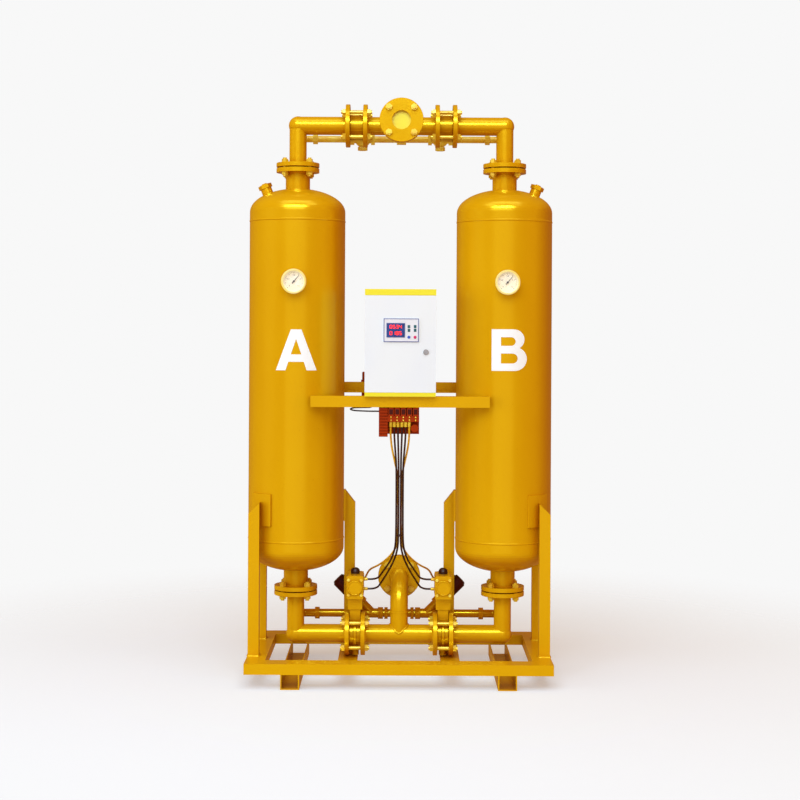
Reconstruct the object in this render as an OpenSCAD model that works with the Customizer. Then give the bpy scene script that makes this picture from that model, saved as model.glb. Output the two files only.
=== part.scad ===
// Twin-tower desiccant air dryer on a welded steel base.
// Sizes are in millimetres. X runs from tower A to tower B, Y to the rear and Z up.
// The origin lies on the floor, midway between the towers.

/* [Base frame] */
// Depth of the base from front to rear
base_d = 700; // [660:2:800]
// Width of a rail across its web
rail_w = 80; // [70:1:90]
// Height of a rail
rail_h = 43; // [40:1:55]
// Steel thickness of the rails and skids
rail_t = 5; // [4:0.5:7]
// Width of a skid
skid_w = 76; // [60:1:100]
// Height of a skid
skid_h = 60; // [50:1:80]
// Width of an inner cross bar
cross_w = 80; // [60:1:90]
// Thickness of an inner cross bar
cross_t = 8; // [5:0.5:10]
// Distance from the middle of a side rail out to the middle of an outer leg
side_shift = 16; // [0:1:17]

/* [Towers] */
// Distance between the tower axes
tower_pitch = 868; // [840:2:960]
// Outside diameter of a shell
shell_d = 400; // [380:2:420]
// Wall of a shell
shell_t = 8; // [6:0.5:12]
// Length of a shell between the tangent lines of its heads
shell_len = 1400; // [1300:10:1800]
// Height of a dished head
head_h = 100; // [90:1:120]
// Straight skirt of a head, up to its weld seam
head_skirt = 38; // [25:1:50]
// Height of a weld seam above the steel
seam_h = 1.5; // [0.5:0.1:2.5]
// Width of a weld seam
seam_w = 8; // [5:0.5:12]
// Outside diameter of a tower nozzle
nozzle_d = 102; // [92:1:108]
// Wall of a tower nozzle
nozzle_t = 9; // [6:0.5:12]
// Length of the lower nozzle from its flange face to the head
nozzle_low = 79; // [65:1:110]
// Length of the upper nozzle from the head to its flange face
nozzle_top = 85; // [65:1:110]
// Distance of the filling nozzle from the tower axis
fill_r = 125; // [105:1:140]
// Outside diameter of the filling nozzle
fill_d = 46; // [38:1:50]
// Length of the filling nozzle
fill_len = 24; // [15:1:35]
// Width of a filling cap across its flats
fill_cap_af = 50; // [44:1:56]
// Thickness of a filling cap
fill_cap_h = 16; // [12:1:24]

/* [Legs] */
// Width of a square leg
leg_w = 45; // [40:1:48]
// Wall of a leg
leg_t = 4; // [3:0.5:5]
// Distance of an outer leg from the tower axis, along X
leg_dx = 160; // [150:1:170]
// Distance of an inner leg from the tower axis, along X
inner_leg_dx = 222; // [214:1:236]
// Room between an inner leg and the pipe flanges
leg_gap = 5.5; // [3:0.5:15]
// Thickness of a saddle pad between leg and shell
pad_t = 8; // [6:0.5:10]
// Width of the saddle pad of an outer leg
pad_w = 110; // [90:1:130]
// Width of the saddle pad of an inner leg
inner_pad_w = 140; // [130:1:150]
// Height of a saddle pad
pad_h = 131; // [110:1:160]
// Height of the pads above the lower tangent line
pad_rise = 104; // [60:1:160]
// Height of an outer leg's top above the foot of its pad
leg_top = 98; // [80:1:110]
// Drop of the sloped cut on an outer leg
leg_cut = 44; // [20:1:60]
// Height of an inner leg's top above the foot of its pad
inner_leg_top = 126; // [90:1:131]
// Drop of the sloped cut on an inner leg
inner_leg_cut = 58; // [20:1:70]

/* [Flanges and pipes] */
// Outside diameter of the main pipes
pipe_d = 76; // [70:1:78]
// Wall of the main pipes
pipe_t = 4; // [3:0.5:6]
// Outside diameter of a flange
flange_d = 180; // [176:1:190]
// Thickness of a flange
flange_t = 18; // [14:1:24]
// Diameter of the bolt circle
bolt_pcd = 145; // [140:1:148]
// Diameter of the flange bolts
bolt_d = 16; // [12:1:18]
// Room between a bolt and its hole, on the diameter
hole_play = 2; // [1:0.5:3]
// Length of a bolt's end beyond its nut
bolt_tail = 6; // [2:1:10]
// Thickness of a flange gasket
gasket_t = 4; // [2:0.5:6]
// Leg length of a weld between a pipe and its flange
weld = 5; // [3:0.5:6]
// Room between a pipe and its socket flange, on the diameter
socket_play = 1; // [0.5:0.1:1.5]
// Thickness of the cover disc that closes a pipe port
cover_t = 3; // [2:0.5:5]
// How much thinner the tower risers are than the headers, at the radius
riser_step = 2; // [1:0.2:4]
// How far the ball of a corner elbow stands proud of its header
ball_step = 1.2; // [0.8:0.1:3]
// Distance from the middle to the face of a middle pipe's flange
valve_face = 160; // [145:1:170]

/* [Upper piping] */
// Height of the upper pipe axis above the tower gaskets
top_riser = 176; // [160:1:210]
// Length of a wafer check valve
check_len = 55; // [45:1:60]
// Outside diameter of a wafer check valve
check_d = 92; // [86:1:110]
// Radius of a check valve's flap
flap_r = 26; // [24:0.5:27]
// Thickness of a flap
flap_t = 5; // [3:0.5:6]
// Height of a flap's hinge pin above the pipe axis
flap_pin_rise = 29; // [28:0.5:29.5]
// Radius of a flap's hinge pin
flap_pin_r = 3; // [2:0.5:3.5]
// Length of the outlet branch from the pipe axis to its flange
outlet_reach = 176; // [140:1:220]
// Diameter of the purge pipe
purge_d = 28; // [22:1:32]
// Bore of the purge pipe
purge_bore = 20; // [14:1:21]
// Largest diameter of a purge check valve
purge_bulb_d = 68; // [56:1:76]
// Length of a purge check valve
purge_valve_len = 104; // [90:1:120]
// Distance of a purge check valve from the middle
purge_valve_x = 166; // [150:1:190]
// Drop of the purge pipe below the upper pipe axis
purge_drop = 40; // [38:1:44]
// Room between the purge valves and the pipe flanges
purge_gap = 11; // [5:1:30]
// Bend radius of the purge pipe
purge_bend = 28; // [22:1:40]

/* [Lower piping] */
// Room between the cross bars and the lowest flange edge
flange_gap = 2; // [1.5:0.5:10]
// Height of the tower gasket above the lower pipe axis
low_riser = 182; // [170:1:220]
// Height of the inlet flange axis above the lower pipe axis
inlet_rise = 220; // [205:1:240]
// Bend radius of the inlet elbow
inlet_elbow_r = 114; // [105:1:125]
// Length of a butterfly valve between the flanges
butterfly_len = 48; // [44:1:54]
// Outside diameter of a butterfly valve body
butterfly_d = 118; // [104:1:122]
// Thickness of a butterfly disc
disc_t = 8; // [5:0.5:12]
// Room round the edge of a butterfly disc
disc_play = 0.5; // [0.3:0.1:1.5]
// Radius of a butterfly stem
stem_r = 7; // [6:0.5:9]
// Height of an actuator's foot above the lower pipe axis
actuator_rise = 154; // [140:1:170]
// Width of an actuator
actuator_w = 71; // [62:1:76]
// Height of an actuator
actuator_h = 98; // [84:1:110]
// Length of an actuator from front to rear
actuator_len = 160; // [140:2:176]
// Diameter of the round end cover of an actuator
end_cover_d = 60; // [50:1:62]
// Diameter of a position indicator
indicator_d = 38; // [30:1:46]
// Height of a position indicator
indicator_h = 25; // [18:1:32]

/* [Exhaust] */
// Diameter of the exhaust pipe
exhaust_d = 34; // [30:1:38]
// Bore of the exhaust pipe
exhaust_bore = 27; // [20:1:28]
// Height of the exhaust pipe above the lower pipe axis
exhaust_rise = 53; // [50:1:60]
// Bend radius of the exhaust pipe
exhaust_bend = 36; // [30:1:45]
// Distance of an exhaust valve from the middle
exhaust_valve_x = 115; // [105:1:130]
// Length of an exhaust valve between its hexagon ends
exhaust_valve_len = 92; // [80:1:110]
// Width of the hexagon ends across the flats
exhaust_af = 44; // [40:1:50]
// Diameter of an exhaust valve's piston head
head_d = 64; // [56:1:70]
// Distance along the bonnet from the valve to its piston head
head_start = 104; // [98:1:112]
// Length of a piston head
head_len = 108; // [90:1:120]
// Room between the piston heads and the inner legs
head_gap = 7.5; // [4:0.5:20]
// Diameter of the muffler
muffler_d = 76; // [60:1:80]
// Length of the muffler
muffler_len = 105; // [80:1:115]

/* [Gauges] */
// Height of the gauges above the lower tangent line
gauge_rise = 1105; // [800:5:1200]
// Outside diameter of a gauge bezel
bezel_d = 102; // [96:1:110]
// Depth of a gauge case
case_depth = 28; // [24:1:34]
// Wall of a gauge case
case_t = 3; // [2:0.5:4]
// Distance of a gauge's back from the shell
gauge_stand = 14; // [10:1:30]
// Reading angle of the needles, to the right of upright
needle_angle = 40; // [0:1:80]

/* [Support beams] */
// Half length of a support beam
beam_half = 364; // [300:1:400]
// Leg length of the angle steel
beam_leg = 45; // [40:1:55]
// Thickness of the angle steel
beam_t = 5; // [4:0.5:6]
// Height of the front beam's top above the lower tangent line
beam_rise = 641; // [600:1:700]
// Height of the rear beam's foot above the lower tangent line
rear_beam_rise = 638; // [600:1:700]

/* [Control box] */
// Width of the control box
box_w = 288; // [270:2:310]
// Height of the control box
box_h = 434; // [420:2:460]
// Depth of the control box with its door
box_d = 200; // [180:2:220]
// Sheet thickness of the box and door
sheet_t = 2; // [1.5:0.5:3]
// Distance that the door stands ahead of the beam
box_overhang = 28; // [10:1:40]
// Depth of the door
door_t = 18; // [16:1:22]
// Room between door and box
door_gap = 0.5; // [0.4:0.1:0.9]
// Height of the upper trim strip
trim_top = 25; // [18:1:30]
// Height of the lower trim strip
trim_low = 16; // [14:1:24]
// Width of the rim round the box's mouth
rim_w = 14; // [12:1:18]
// Radius of the door's pivot pins
pivot_r = 3; // [2:0.5:3.5]
// Width of the display panel
panel_w = 142; // [130:1:150]
// Height of the display panel
panel_h = 95; // [85:1:105]
// Height of the display panel's middle above the foot of the box
panel_rise = 268; // [240:1:300]
// Height of the lock above the foot of the box
lock_rise = 180; // [120:1:200]
// Diameter of the lock ring
lock_d = 22; // [18:1:26]
// Diameter of a push button
button_d = 12; // [10:0.5:14]
// Travel of a push button
button_travel = 2; // [1:0.5:3]

/* [Pilot air] */
// Width of the solenoid bank
bank_w = 164; // [150:2:180]
// Height of the solenoid bank
bank_h = 160; // [150:2:180]
// Depth of the solenoid bank
bank_d = 38; // [34:1:38]
// Outside diameter of an air tube
tube_d = 8; // [6:1:8]
// Outside diameter of a push-in fitting
fitting_d = 13; // [10:1:14]
// Outside diameter of the control cable
cable_d = 6; // [5:0.5:7]

/* [Hidden] */
$fn = 64;

// Colours of the finishes
paint = "#DAA50A";
trim_yellow = "#F5E632";
zinc = "#E8DC6A";
dark = "#3A1A10";
white = "#F0F4F7";

// Small clearances shared by all fits
seat = 0.3;
run_fit = 0.06;
cut = 1;

// Heights from the floor upwards
frame_top = skid_h + rail_h;
lower_z = skid_h + cross_t + flange_gap + flange_d / 2;
low_joint = lower_z + low_riser + gasket_t;
tan_low = low_joint + nozzle_low + head_h;
tan_high = tan_low + shell_len;
top_joint = tan_high + head_h + nozzle_top;
upper_z = top_joint + gasket_t + top_riser;
pad_z = tan_low + pad_rise;
gauge_z = tan_low + gauge_rise;
beam_z = tan_low + beam_rise;
rear_beam_z = tan_low + rear_beam_rise;

// Main plan positions
tower_x = tower_pitch / 2;
shell_r = shell_d / 2;
flange_r = flange_d / 2;
pipe_r = pipe_d / 2;
pipe_ri = pipe_r - pipe_t;
nozzle_r = nozzle_d / 2;
nozzle_ri = nozzle_r - nozzle_t;
inner_leg_x = tower_x - inner_leg_dx;
inner_leg_y = flange_r + leg_gap + leg_w / 2;
leg_x = tower_x + leg_dx;
leg_corner_x = leg_dx - leg_w / 2;
pad_sink = 1.5;
leg_corner_y = sqrt((shell_r + pad_t - pad_sink) ^ 2 - leg_corner_x ^ 2);
leg_y = leg_corner_y + leg_w / 2;
side_x = leg_x - side_shift;
base_w = 2 * side_x + rail_w;

// Flange bolts
bolt_hole_d = bolt_d + hole_play;
nut_h = 0.8 * bolt_d;
nut_af = 1.5 * bolt_d;
bolt_angle = 45;
seal_r = (bolt_pcd - bolt_hole_d) / 2 - cut;

// Pipe runs
check_face = valve_face + check_len;
butterfly_face = valve_face + butterfly_len;
butterfly_x = valve_face + butterfly_len / 2;
inlet_z = lower_z + inlet_rise;
exhaust_z = lower_z + exhaust_rise;
exhaust_y = inner_leg_y + leg_w / 2 + head_gap + head_d / 2;
purge_y = flange_r + purge_gap + purge_bulb_d / 2;
purge_z = upper_z - purge_drop;
boss_reach = 24;

// Desiccant bed
shell_ri = shell_r - shell_t;
screen_t = 6;
bed_low = tan_low + head_skirt;
bed_high = tan_high - head_skirt;

// Gauge
case_r = bezel_d / 2 - case_t;
cavity_r = case_r - case_t + 0.5;
lens_r = cavity_r - seat;
gauge_back = shell_r + gauge_stand;
dial_seat = 6;
dial_t = 1;
lip_t = 3;
glass_t = 2;
spindle_r = 1.5;

// Beams and control box
beam_y = sqrt(shell_r ^ 2 - (tower_x - beam_half) ^ 2) + seat;
beam_front = beam_y + beam_leg;
door_face = -(beam_front + box_overhang);
door_back = door_face + door_t;
box_face = door_back + door_gap;
box_back = door_face + box_d;
box_z = beam_z;
box_top = box_z + box_h;
door_low = box_z + trim_low + door_gap;
door_high = box_top - trim_top - door_gap;
pivot_inset = 5;
pivot_depth = 7;
pivot_notch = 1.5;
lock_inset = 41;
pivot_x = -box_w / 2 + pivot_inset;
pivot_y = door_back - pivot_depth;
panel_x = 3;
panel_z = box_z + panel_rise;
panel_t = 4;
panel_back = 12;
button_gap = 25;
button_x = panel_x + 31;
button_z = panel_z - 28;
lock_x = box_w / 2 - lock_inset;
lock_z = box_z + lock_rise;

// Pilot air
bank_x = -4;
bank_top = beam_z - beam_t;
bank_back = -beam_y - seat;
bank_front = bank_back - bank_d;
manifold_drop = 99;
manifold_z = bank_top - manifold_drop;
fitting_y = bank_front + 14;
fitting_len = 22;
actuator_z = lower_z + actuator_rise;
port_reach = 16;
port_rise = [76, 31];
port_y = 15;
head_port = 130;

// Helpers that set a piece on its side
module along_x() {
    rotate([0, 90, 0]) children();
}

module along_y() {
    rotate([-90, 0, 0]) children();
}

module to_front() {
    rotate([90, 0, 0]) children();
}

// The A side is the mirror image of the B side
module on_a() {
    mirror([1, 0, 0]) children();
}

module hexagon(af, h) {
    cylinder(d = af / cos(30), h = h, $fn = 6);
}

// Round bar with a chamfer on both rims
module turned(r, h, chamfer) {
    rotate_extrude()
        polygon([
            [0, 0], [r - chamfer, 0], [r, chamfer],
            [r, h - chamfer], [r - chamfer, h], [0, h]
        ]);
}

module bolt_circle() {
    for (k = [0:3])
        rotate(bolt_angle + 90 * k)
            translate([bolt_pcd / 2, 0, 0])
                children();
}

// Plain flange plate without its bore
module flange_blank() {
    difference() {
        turned(flange_r, flange_t, 1.5);
        bolt_circle()
            translate([0, 0, -cut])
                cylinder(d = bolt_hole_d, h = flange_t + 2 * cut);
    }
}

// Fillet weld that rises from a flange along its pipe
module weld_ring(r) {
    rotate_extrude()
        polygon([[r - cut, 0], [r + weld, 0], [r, weld], [r - cut, weld]]);
}

// Flange with its weld, the pipe leaving towards +Z
module welded_flange() {
    flange_blank();
    translate([0, 0, flange_t]) weld_ring(pipe_r);
}

// Quarter bend from +X round to +Y
module bend(r, tube_r) {
    rotate_extrude(angle = 90)
        translate([r, 0])
            circle(r = tube_r);
}

// U section with its web on top, along Y
module rail(length) {
    along_y()
        linear_extrude(height = length, center = true)
            difference() {
                translate([-rail_w / 2, 0])
                    square([rail_w, rail_h]);
                translate([-rail_w / 2 + rail_t, rail_t])
                    square([rail_w - 2 * rail_t, rail_h]);
            }
}

module skid() {
    along_y()
        linear_extrude(height = base_d, center = true)
            difference() {
                translate([-skid_w / 2, -skid_h])
                    square([skid_w, skid_h]);
                translate([-skid_w / 2 + rail_t, -skid_h - rail_t])
                    square([skid_w - 2 * rail_t, skid_h]);
            }
}

module base_frame() {
    color(paint)
    union() {
        for (side = [-1, 1]) {
            translate([0, side * (base_d - rail_w) / 2, frame_top])
                rotate(90) rail(base_w);
            translate([side * side_x, 0, frame_top])
                rail(base_d - 2 * rail_w);
            translate([side * inner_leg_x - cross_w / 2, -base_d / 2 + rail_w, skid_h])
                cube([cross_w, base_d - 2 * rail_w, cross_t]);
            translate([side * tower_x, 0, 0]) skid();
        }
    }
}

// Curved plate on the shell, centred on an angle
module saddle_pad(width, angle) {
    spread = width / (shell_r + pad_t) * 180 / PI;
    rotate(angle - spread / 2)
        rotate_extrude(angle = spread)
            translate([shell_r + seat, pad_z])
                square([pad_t - seat, pad_h]);
}

// Square tube, open at its foot, with a sloped top; the high side faces -X
module leg_tube(foot, high, drop) {
    half = leg_w / 2;
    inner = half - leg_t;
    cap = 1.4 * leg_t;
    to_front()
        difference() {
            linear_extrude(height = leg_w, center = true)
                polygon([[-half, foot], [half, foot], [half, high - drop], [-half, high]]);
            linear_extrude(height = 2 * inner, center = true)
                polygon([
                    [-inner, foot - cut], [inner, foot - cut],
                    [inner, high - drop - cap], [-inner, high - cap]
                ]);
        }
}

module outer_leg(side) {
    translate([tower_x, 0, 0])
        saddle_pad(pad_w, atan2(side * leg_corner_y, leg_corner_x));
    translate([leg_x, side * leg_y, 0])
        leg_tube(frame_top, pad_z + leg_top, leg_cut);
}

module inner_leg() {
    stand_h = inner_leg_top - inner_leg_cut;
    stand_from = inner_leg_x + leg_w / 2 - cut;
    translate([tower_x, 0, 0])
        saddle_pad(inner_pad_w, 180 - atan2(inner_leg_y, inner_leg_dx) + 3);
    translate([inner_leg_x, inner_leg_y, 0])
        mirror([1, 0, 0])
            leg_tube(skid_h + cross_t, pad_z + inner_leg_top, inner_leg_cut);
    difference() {
        translate([stand_from, inner_leg_y - leg_w / 2, pad_z])
            cube([shell_r / 2, leg_w, stand_h]);
        translate([tower_x, 0, pad_z - cut])
            cylinder(r = shell_r + pad_t - pad_sink, h = stand_h + 2 * cut, $fn = 128);
        translate([tower_x, -shell_d, pad_z - cut])
            cube([shell_d, 2 * shell_d, stand_h + 2 * cut]);
    }
}

module tower_b_legs() {
    color(paint) {
        outer_leg(-1);
        outer_leg(1);
        inner_leg();
    }
}

module tower_a_legs() {
    on_a() tower_b_legs();
}

module angle_bar() {
    translate([-beam_half, 0, 0])
        along_x()
            linear_extrude(height = 2 * beam_half)
                children();
}

module front_support_beam() {
    color(paint)
        angle_bar()
            translate([-beam_z, -beam_front])
                union() {
                    square([beam_t, beam_leg]);
                    square([beam_leg, beam_t]);
                }
}

module rear_support_beam() {
    color(paint)
        angle_bar()
            translate([-rear_beam_z - beam_leg, beam_y])
                union() {
                    translate([0, beam_leg - beam_t]) square([beam_leg, beam_t]);
                    translate([beam_leg - beam_t, 0]) square([beam_t, beam_leg]);
                }
}

// Points of an elliptical head from a nozzle out to the tangent line
function head_arc(r, h, from_r, steps) = [
    for (i = [0:steps])
        let (start = asin(from_r / r), a = start + (90 - start) * i / steps)
            [r * sin(a), h * cos(a)]
];

function reversed(list) = [for (i = [len(list) - 1:-1:0]) list[i]];

// Raised weld seam round a shell
function seam(z) = [
    [shell_r, z - seam_w / 2], [shell_r + seam_h, z - seam_w / 4],
    [shell_r + seam_h, z + seam_w / 4], [shell_r, z + seam_w / 2]
];

head_steps = 14;
outer_head = head_arc(shell_r, head_h, nozzle_r, head_steps);
inner_head = head_arc(shell_ri, head_h - shell_t, nozzle_ri, head_steps);

vessel_wall = concat(
    [[nozzle_ri, low_joint], [flange_r - 1.5, low_joint], [flange_r, low_joint + 1.5]],
    [[flange_r, low_joint + flange_t], [nozzle_r + weld, low_joint + flange_t]],
    [[nozzle_r, low_joint + flange_t + weld]],
    [for (p = outer_head) [p.x, tan_low - p.y]],
    seam(tan_low + head_skirt),
    seam(tan_high - head_skirt),
    [for (p = reversed(outer_head)) [p.x, tan_high + p.y]],
    [[nozzle_r, top_joint - flange_t - weld], [nozzle_r + weld, top_joint - flange_t]],
    [[flange_r, top_joint - flange_t], [flange_r, top_joint - 1.5]],
    [[flange_r - 1.5, top_joint], [nozzle_ri, top_joint]],
    [for (p = inner_head) [p.x, tan_high + p.y]],
    [for (p = reversed(inner_head)) [p.x, tan_low - p.y]]
);

// The filling nozzle stands square on the upper head
fill_z = head_h * sqrt(1 - (fill_r / shell_r) ^ 2);
fill_tilt = atan((fill_r / shell_r ^ 2) / (fill_z / head_h ^ 2));
gauge_boss_d = 30;

module at_fill_nozzle() {
    translate([tower_x + fill_r, 0, tan_high + fill_z])
        rotate([0, fill_tilt, 0])
            children();
}

module vessel_b() {
    color(paint)
    difference() {
        union() {
            translate([tower_x, 0, 0])
                rotate_extrude($fn = 128) polygon(vessel_wall);
            at_fill_nozzle()
                translate([0, 0, -shell_t / 2])
                    cylinder(d = fill_d, h = fill_len + shell_t / 2);
            translate([tower_x, -shell_r + shell_t / 2, gauge_z])
                to_front()
                    cylinder(d = gauge_boss_d, h = shell_t / 2 + gauge_stand - dial_seat);
        }
        for (z = [low_joint, top_joint - flange_t])
            translate([tower_x, 0, z - cut])
                bolt_circle()
                    cylinder(d = bolt_hole_d, h = flange_t + 2 * cut);
    }
}

module vessel_a() {
    on_a() vessel_b();
}

module desiccant_beds() {
    color("ivory")
    for (side = [-1, 1])
        translate([side * tower_x, 0, bed_low + screen_t])
            cylinder(r = shell_ri - seat, h = bed_high - bed_low - 2 * screen_t);
}

// Perforated plates that hold the bed at both ends
module bed_screens() {
    hole_pitch = 60;
    color("silver")
    for (side = [-1, 1])
        for (z = [bed_low, bed_high - screen_t])
            translate([side * tower_x, 0, z])
                difference() {
                    cylinder(r = shell_ri - seat, h = screen_t);
                    for (ring = [1:2])
                        for (k = [1:6 * ring])
                            rotate(60 / ring * k)
                                translate([hole_pitch * ring, 0, -cut])
                                    cylinder(d = hole_pitch / 3, h = screen_t + 2 * cut);
                }
}

module fill_caps() {
    color(paint)
    for (side = [0, 1])
        mirror([side, 0, 0])
            at_fill_nozzle()
                translate([0, 0, fill_len]) {
                    hexagon(fill_cap_af, fill_cap_h);
                    translate([0, 0, fill_cap_h]) turned(fill_d / 4, fill_cap_h / 3, 1.5);
                }
}

// Places a piece on a gauge axis, with +Z towards the front
module at_gauge(side) {
    translate([side * tower_x, -gauge_back, gauge_z])
        to_front()
            children();
}

module gauge_cases() {
    bezel_h = 8;
    color(zinc)
    for (side = [-1, 1])
        at_gauge(side)
            difference() {
                union() {
                    translate([0, 0, -dial_seat])
                        hexagon(gauge_boss_d * 0.8, dial_seat + cut);
                    cylinder(r = case_r, h = case_depth - cut);
                    translate([0, 0, case_depth - bezel_h])
                        turned(bezel_d / 2, bezel_h, 2);
                }
                translate([0, 0, dial_seat])
                    cylinder(r = cavity_r, h = case_depth - dial_seat - lip_t);
                translate([0, 0, dial_seat])
                    cylinder(r = cavity_r - 2, h = case_depth);
                translate([0, 0, case_t])
                    cylinder(r = spindle_r + run_fit, h = dial_seat);
            }
}

module gauge_dials() {
    color("ivory")
    for (side = [-1, 1])
        at_gauge(side)
            translate([0, 0, dial_seat])
                difference() {
                    cylinder(r = lens_r, h = dial_t);
                    translate([0, 0, -cut])
                        cylinder(r = 2 * spindle_r, h = dial_t + 2 * cut);
                }
}

module gauge_glasses() {
    color("white", 0.3)
    for (side = [-1, 1])
        at_gauge(side)
            translate([0, 0, case_depth - lip_t - glass_t])
                cylinder(r = lens_r, h = glass_t);
}

// Needle on its spindle, which turns in the back of the case
module needle(side) {
    blade_z = dial_seat + dial_t + 4;
    tip = 0.72 * cavity_r;
    color("black")
    at_gauge(side)
        rotate(-needle_angle) {
            translate([0, 0, case_t + seat])
                cylinder(r = spindle_r, h = blade_z - case_t);
            translate([0, 0, blade_z - 1])
                cylinder(r = 3 * spindle_r, h = 3);
            translate([0, 0, blade_z])
                linear_extrude(height = 1.2)
                    polygon([[-2.2, -tip / 3], [2.2, -tip / 3], [0.8, tip], [-0.8, tip]]);
        }
}

module gauge_a_needle() {
    needle(-1);
}

module gauge_b_needle() {
    needle(1);
}

// Pipe from a tower flange, round a ball corner and along to a valve flange
module corner_spool(riser, run, boss_z, boss_d, boss_bore) {
    riser_r = pipe_r - riser_step;
    riser_ri = riser_r - pipe_t;
    boss_start = riser_ri - 6;
    difference() {
        union() {
            flange_blank();
            translate([0, 0, flange_t]) weld_ring(riser_r);
            cylinder(r = riser_r, h = riser);
            translate([0, 0, riser]) sphere(r = pipe_r + ball_step);
            translate([-run, 0, riser])
                along_x() {
                    welded_flange();
                    cylinder(r = pipe_r, h = run);
                }
            translate([0, boss_start, boss_z])
                along_y() cylinder(d = boss_d, h = pipe_r + boss_reach - boss_start);
        }
        translate([0, 0, -cut]) cylinder(r = riser_ri, h = riser + cut);
        translate([0, 0, riser]) sphere(r = pipe_ri + ball_step / 2);
        translate([-run - cut, 0, riser])
            along_x() cylinder(r = pipe_ri, h = run + cut);
        translate([0, 0, boss_z])
            along_y() cylinder(d = boss_bore, h = pipe_r + boss_reach + cut);
    }
}

module outlet_spool_b() {
    color(paint)
        translate([tower_x, 0, top_joint + gasket_t])
            corner_spool(top_riser, tower_x - check_face, top_riser - purge_drop,
                purge_d + 8, purge_bore);
}

module outlet_spool_a() {
    on_a() outlet_spool_b();
}

module inlet_spool_b() {
    color(paint)
        translate([tower_x, 0, low_joint - gasket_t])
            mirror([0, 0, 1])
                corner_spool(low_riser, tower_x - butterfly_face, low_riser - exhaust_rise,
                    exhaust_d + 8, exhaust_bore);
}

module inlet_spool_a() {
    on_a() inlet_spool_b();
}

// Middle pipe between two valve flanges; children are its branch
module middle_pipe(z) {
    translate([-valve_face, 0, z])
        along_x() welded_flange();
    translate([-valve_face, 0, z])
        along_x() cylinder(r = pipe_r, h = 2 * valve_face);
    translate([valve_face, 0, z])
        mirror([1, 0, 0]) along_x() welded_flange();
}

module middle_bore(z) {
    translate([-valve_face - cut, 0, z])
        along_x() cylinder(r = pipe_ri, h = 2 * (valve_face + cut));
}

// A tee's branch is drawn a little smaller than its run
branch_step = 0.8;
outlet_face = -(outlet_reach + flange_t);
inlet_face = inlet_elbow_r + flange_t;

module outlet_tee() {
    color(paint)
    difference() {
        union() {
            middle_pipe(upper_z);
            translate([0, outlet_face, upper_z])
                along_y() {
                    welded_flange();
                    cylinder(r = pipe_r - branch_step, h = -outlet_face);
                }
        }
        middle_bore(upper_z);
        translate([0, outlet_face - cut, upper_z])
            along_y() cylinder(r = pipe_ri - branch_step, h = cut - outlet_face);
    }
}

module inlet_tee() {
    stub = inlet_rise - inlet_elbow_r;
    color(paint)
    difference() {
        union() {
            middle_pipe(lower_z);
            translate([0, 0, lower_z]) cylinder(r = pipe_r - branch_step, h = stub);
            translate([0, inlet_elbow_r, lower_z + stub])
                rotate([90, 0, -90]) bend(inlet_elbow_r, pipe_r - branch_step);
            translate([0, inlet_face, inlet_z])
                to_front() welded_flange();
            translate([0, 0, lower_z + stub - 2 * seam_w])
                cylinder(r = pipe_r + seam_h, h = seam_w);
        }
        middle_bore(lower_z);
        translate([0, 0, lower_z]) cylinder(r = pipe_ri - branch_step, h = stub);
        translate([0, inlet_elbow_r, lower_z + stub])
            rotate([90, 0, -90]) bend(inlet_elbow_r, pipe_ri - branch_step);
        translate([0, inlet_elbow_r, inlet_z])
            along_y() cylinder(r = pipe_ri - branch_step, h = flange_t + cut);
    }
}

// Socket flange for the user's pipe
module socket_flange() {
    difference() {
        flange_blank();
        translate([0, 0, -cut])
            cylinder(d = pipe_d + socket_play, h = flange_t + 2 * cut);
    }
}

module outlet_companion_flange() {
    color(paint)
        translate([0, outlet_face - cover_t, upper_z])
            to_front() socket_flange();
}

module inlet_companion_flange() {
    color(paint)
        translate([0, inlet_face + cover_t, inlet_z])
            along_y() socket_flange();
}

module port_covers() {
    color(trim_yellow) {
        translate([0, outlet_face, upper_z])
            to_front() cylinder(r = seal_r, h = cover_t);
        translate([0, inlet_face, inlet_z])
            along_y() cylinder(r = seal_r, h = cover_t);
    }
}

// Check valve: the flap hangs from a pin and swings towards the middle
flap_seat = 9;
flap_x = check_face - flap_seat - flap_pin_r - seat;
flap_pin_z = upper_z + flap_pin_rise;
flap_pin_half = sqrt(pipe_ri ^ 2 - flap_pin_rise ^ 2) + 6;

module check_valve_b_body() {
    color(paint)
    difference() {
        translate([valve_face, 0, upper_z])
            along_x() turned(check_d / 2, check_len, 2);
        translate([valve_face - cut, 0, upper_z])
            along_x() cylinder(r = pipe_ri, h = check_len - flap_seat + cut);
        translate([valve_face, 0, upper_z])
            along_x() cylinder(r = flap_r - 3, h = check_len + cut);
        translate([flap_x, -flap_pin_half - seat, flap_pin_z])
            along_y() cylinder(r = flap_pin_r + run_fit, h = 2 * (flap_pin_half + seat));
    }
}

module check_valve_a_body() {
    on_a() check_valve_b_body();
}

module check_valve_b_flap() {
    lug_w = 12;
    color("silver") {
        translate([flap_x - flap_t / 2, 0, upper_z])
            along_x() cylinder(r = flap_r, h = flap_t);
        translate([flap_x - flap_t / 2, -lug_w / 2, upper_z])
            cube([flap_t, lug_w, flap_pin_rise]);
        translate([flap_x, -flap_pin_half, flap_pin_z])
            along_y() cylinder(r = flap_pin_r, h = 2 * flap_pin_half);
    }
}

module check_valve_a_flap() {
    on_a() check_valve_b_flap();
}

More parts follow.
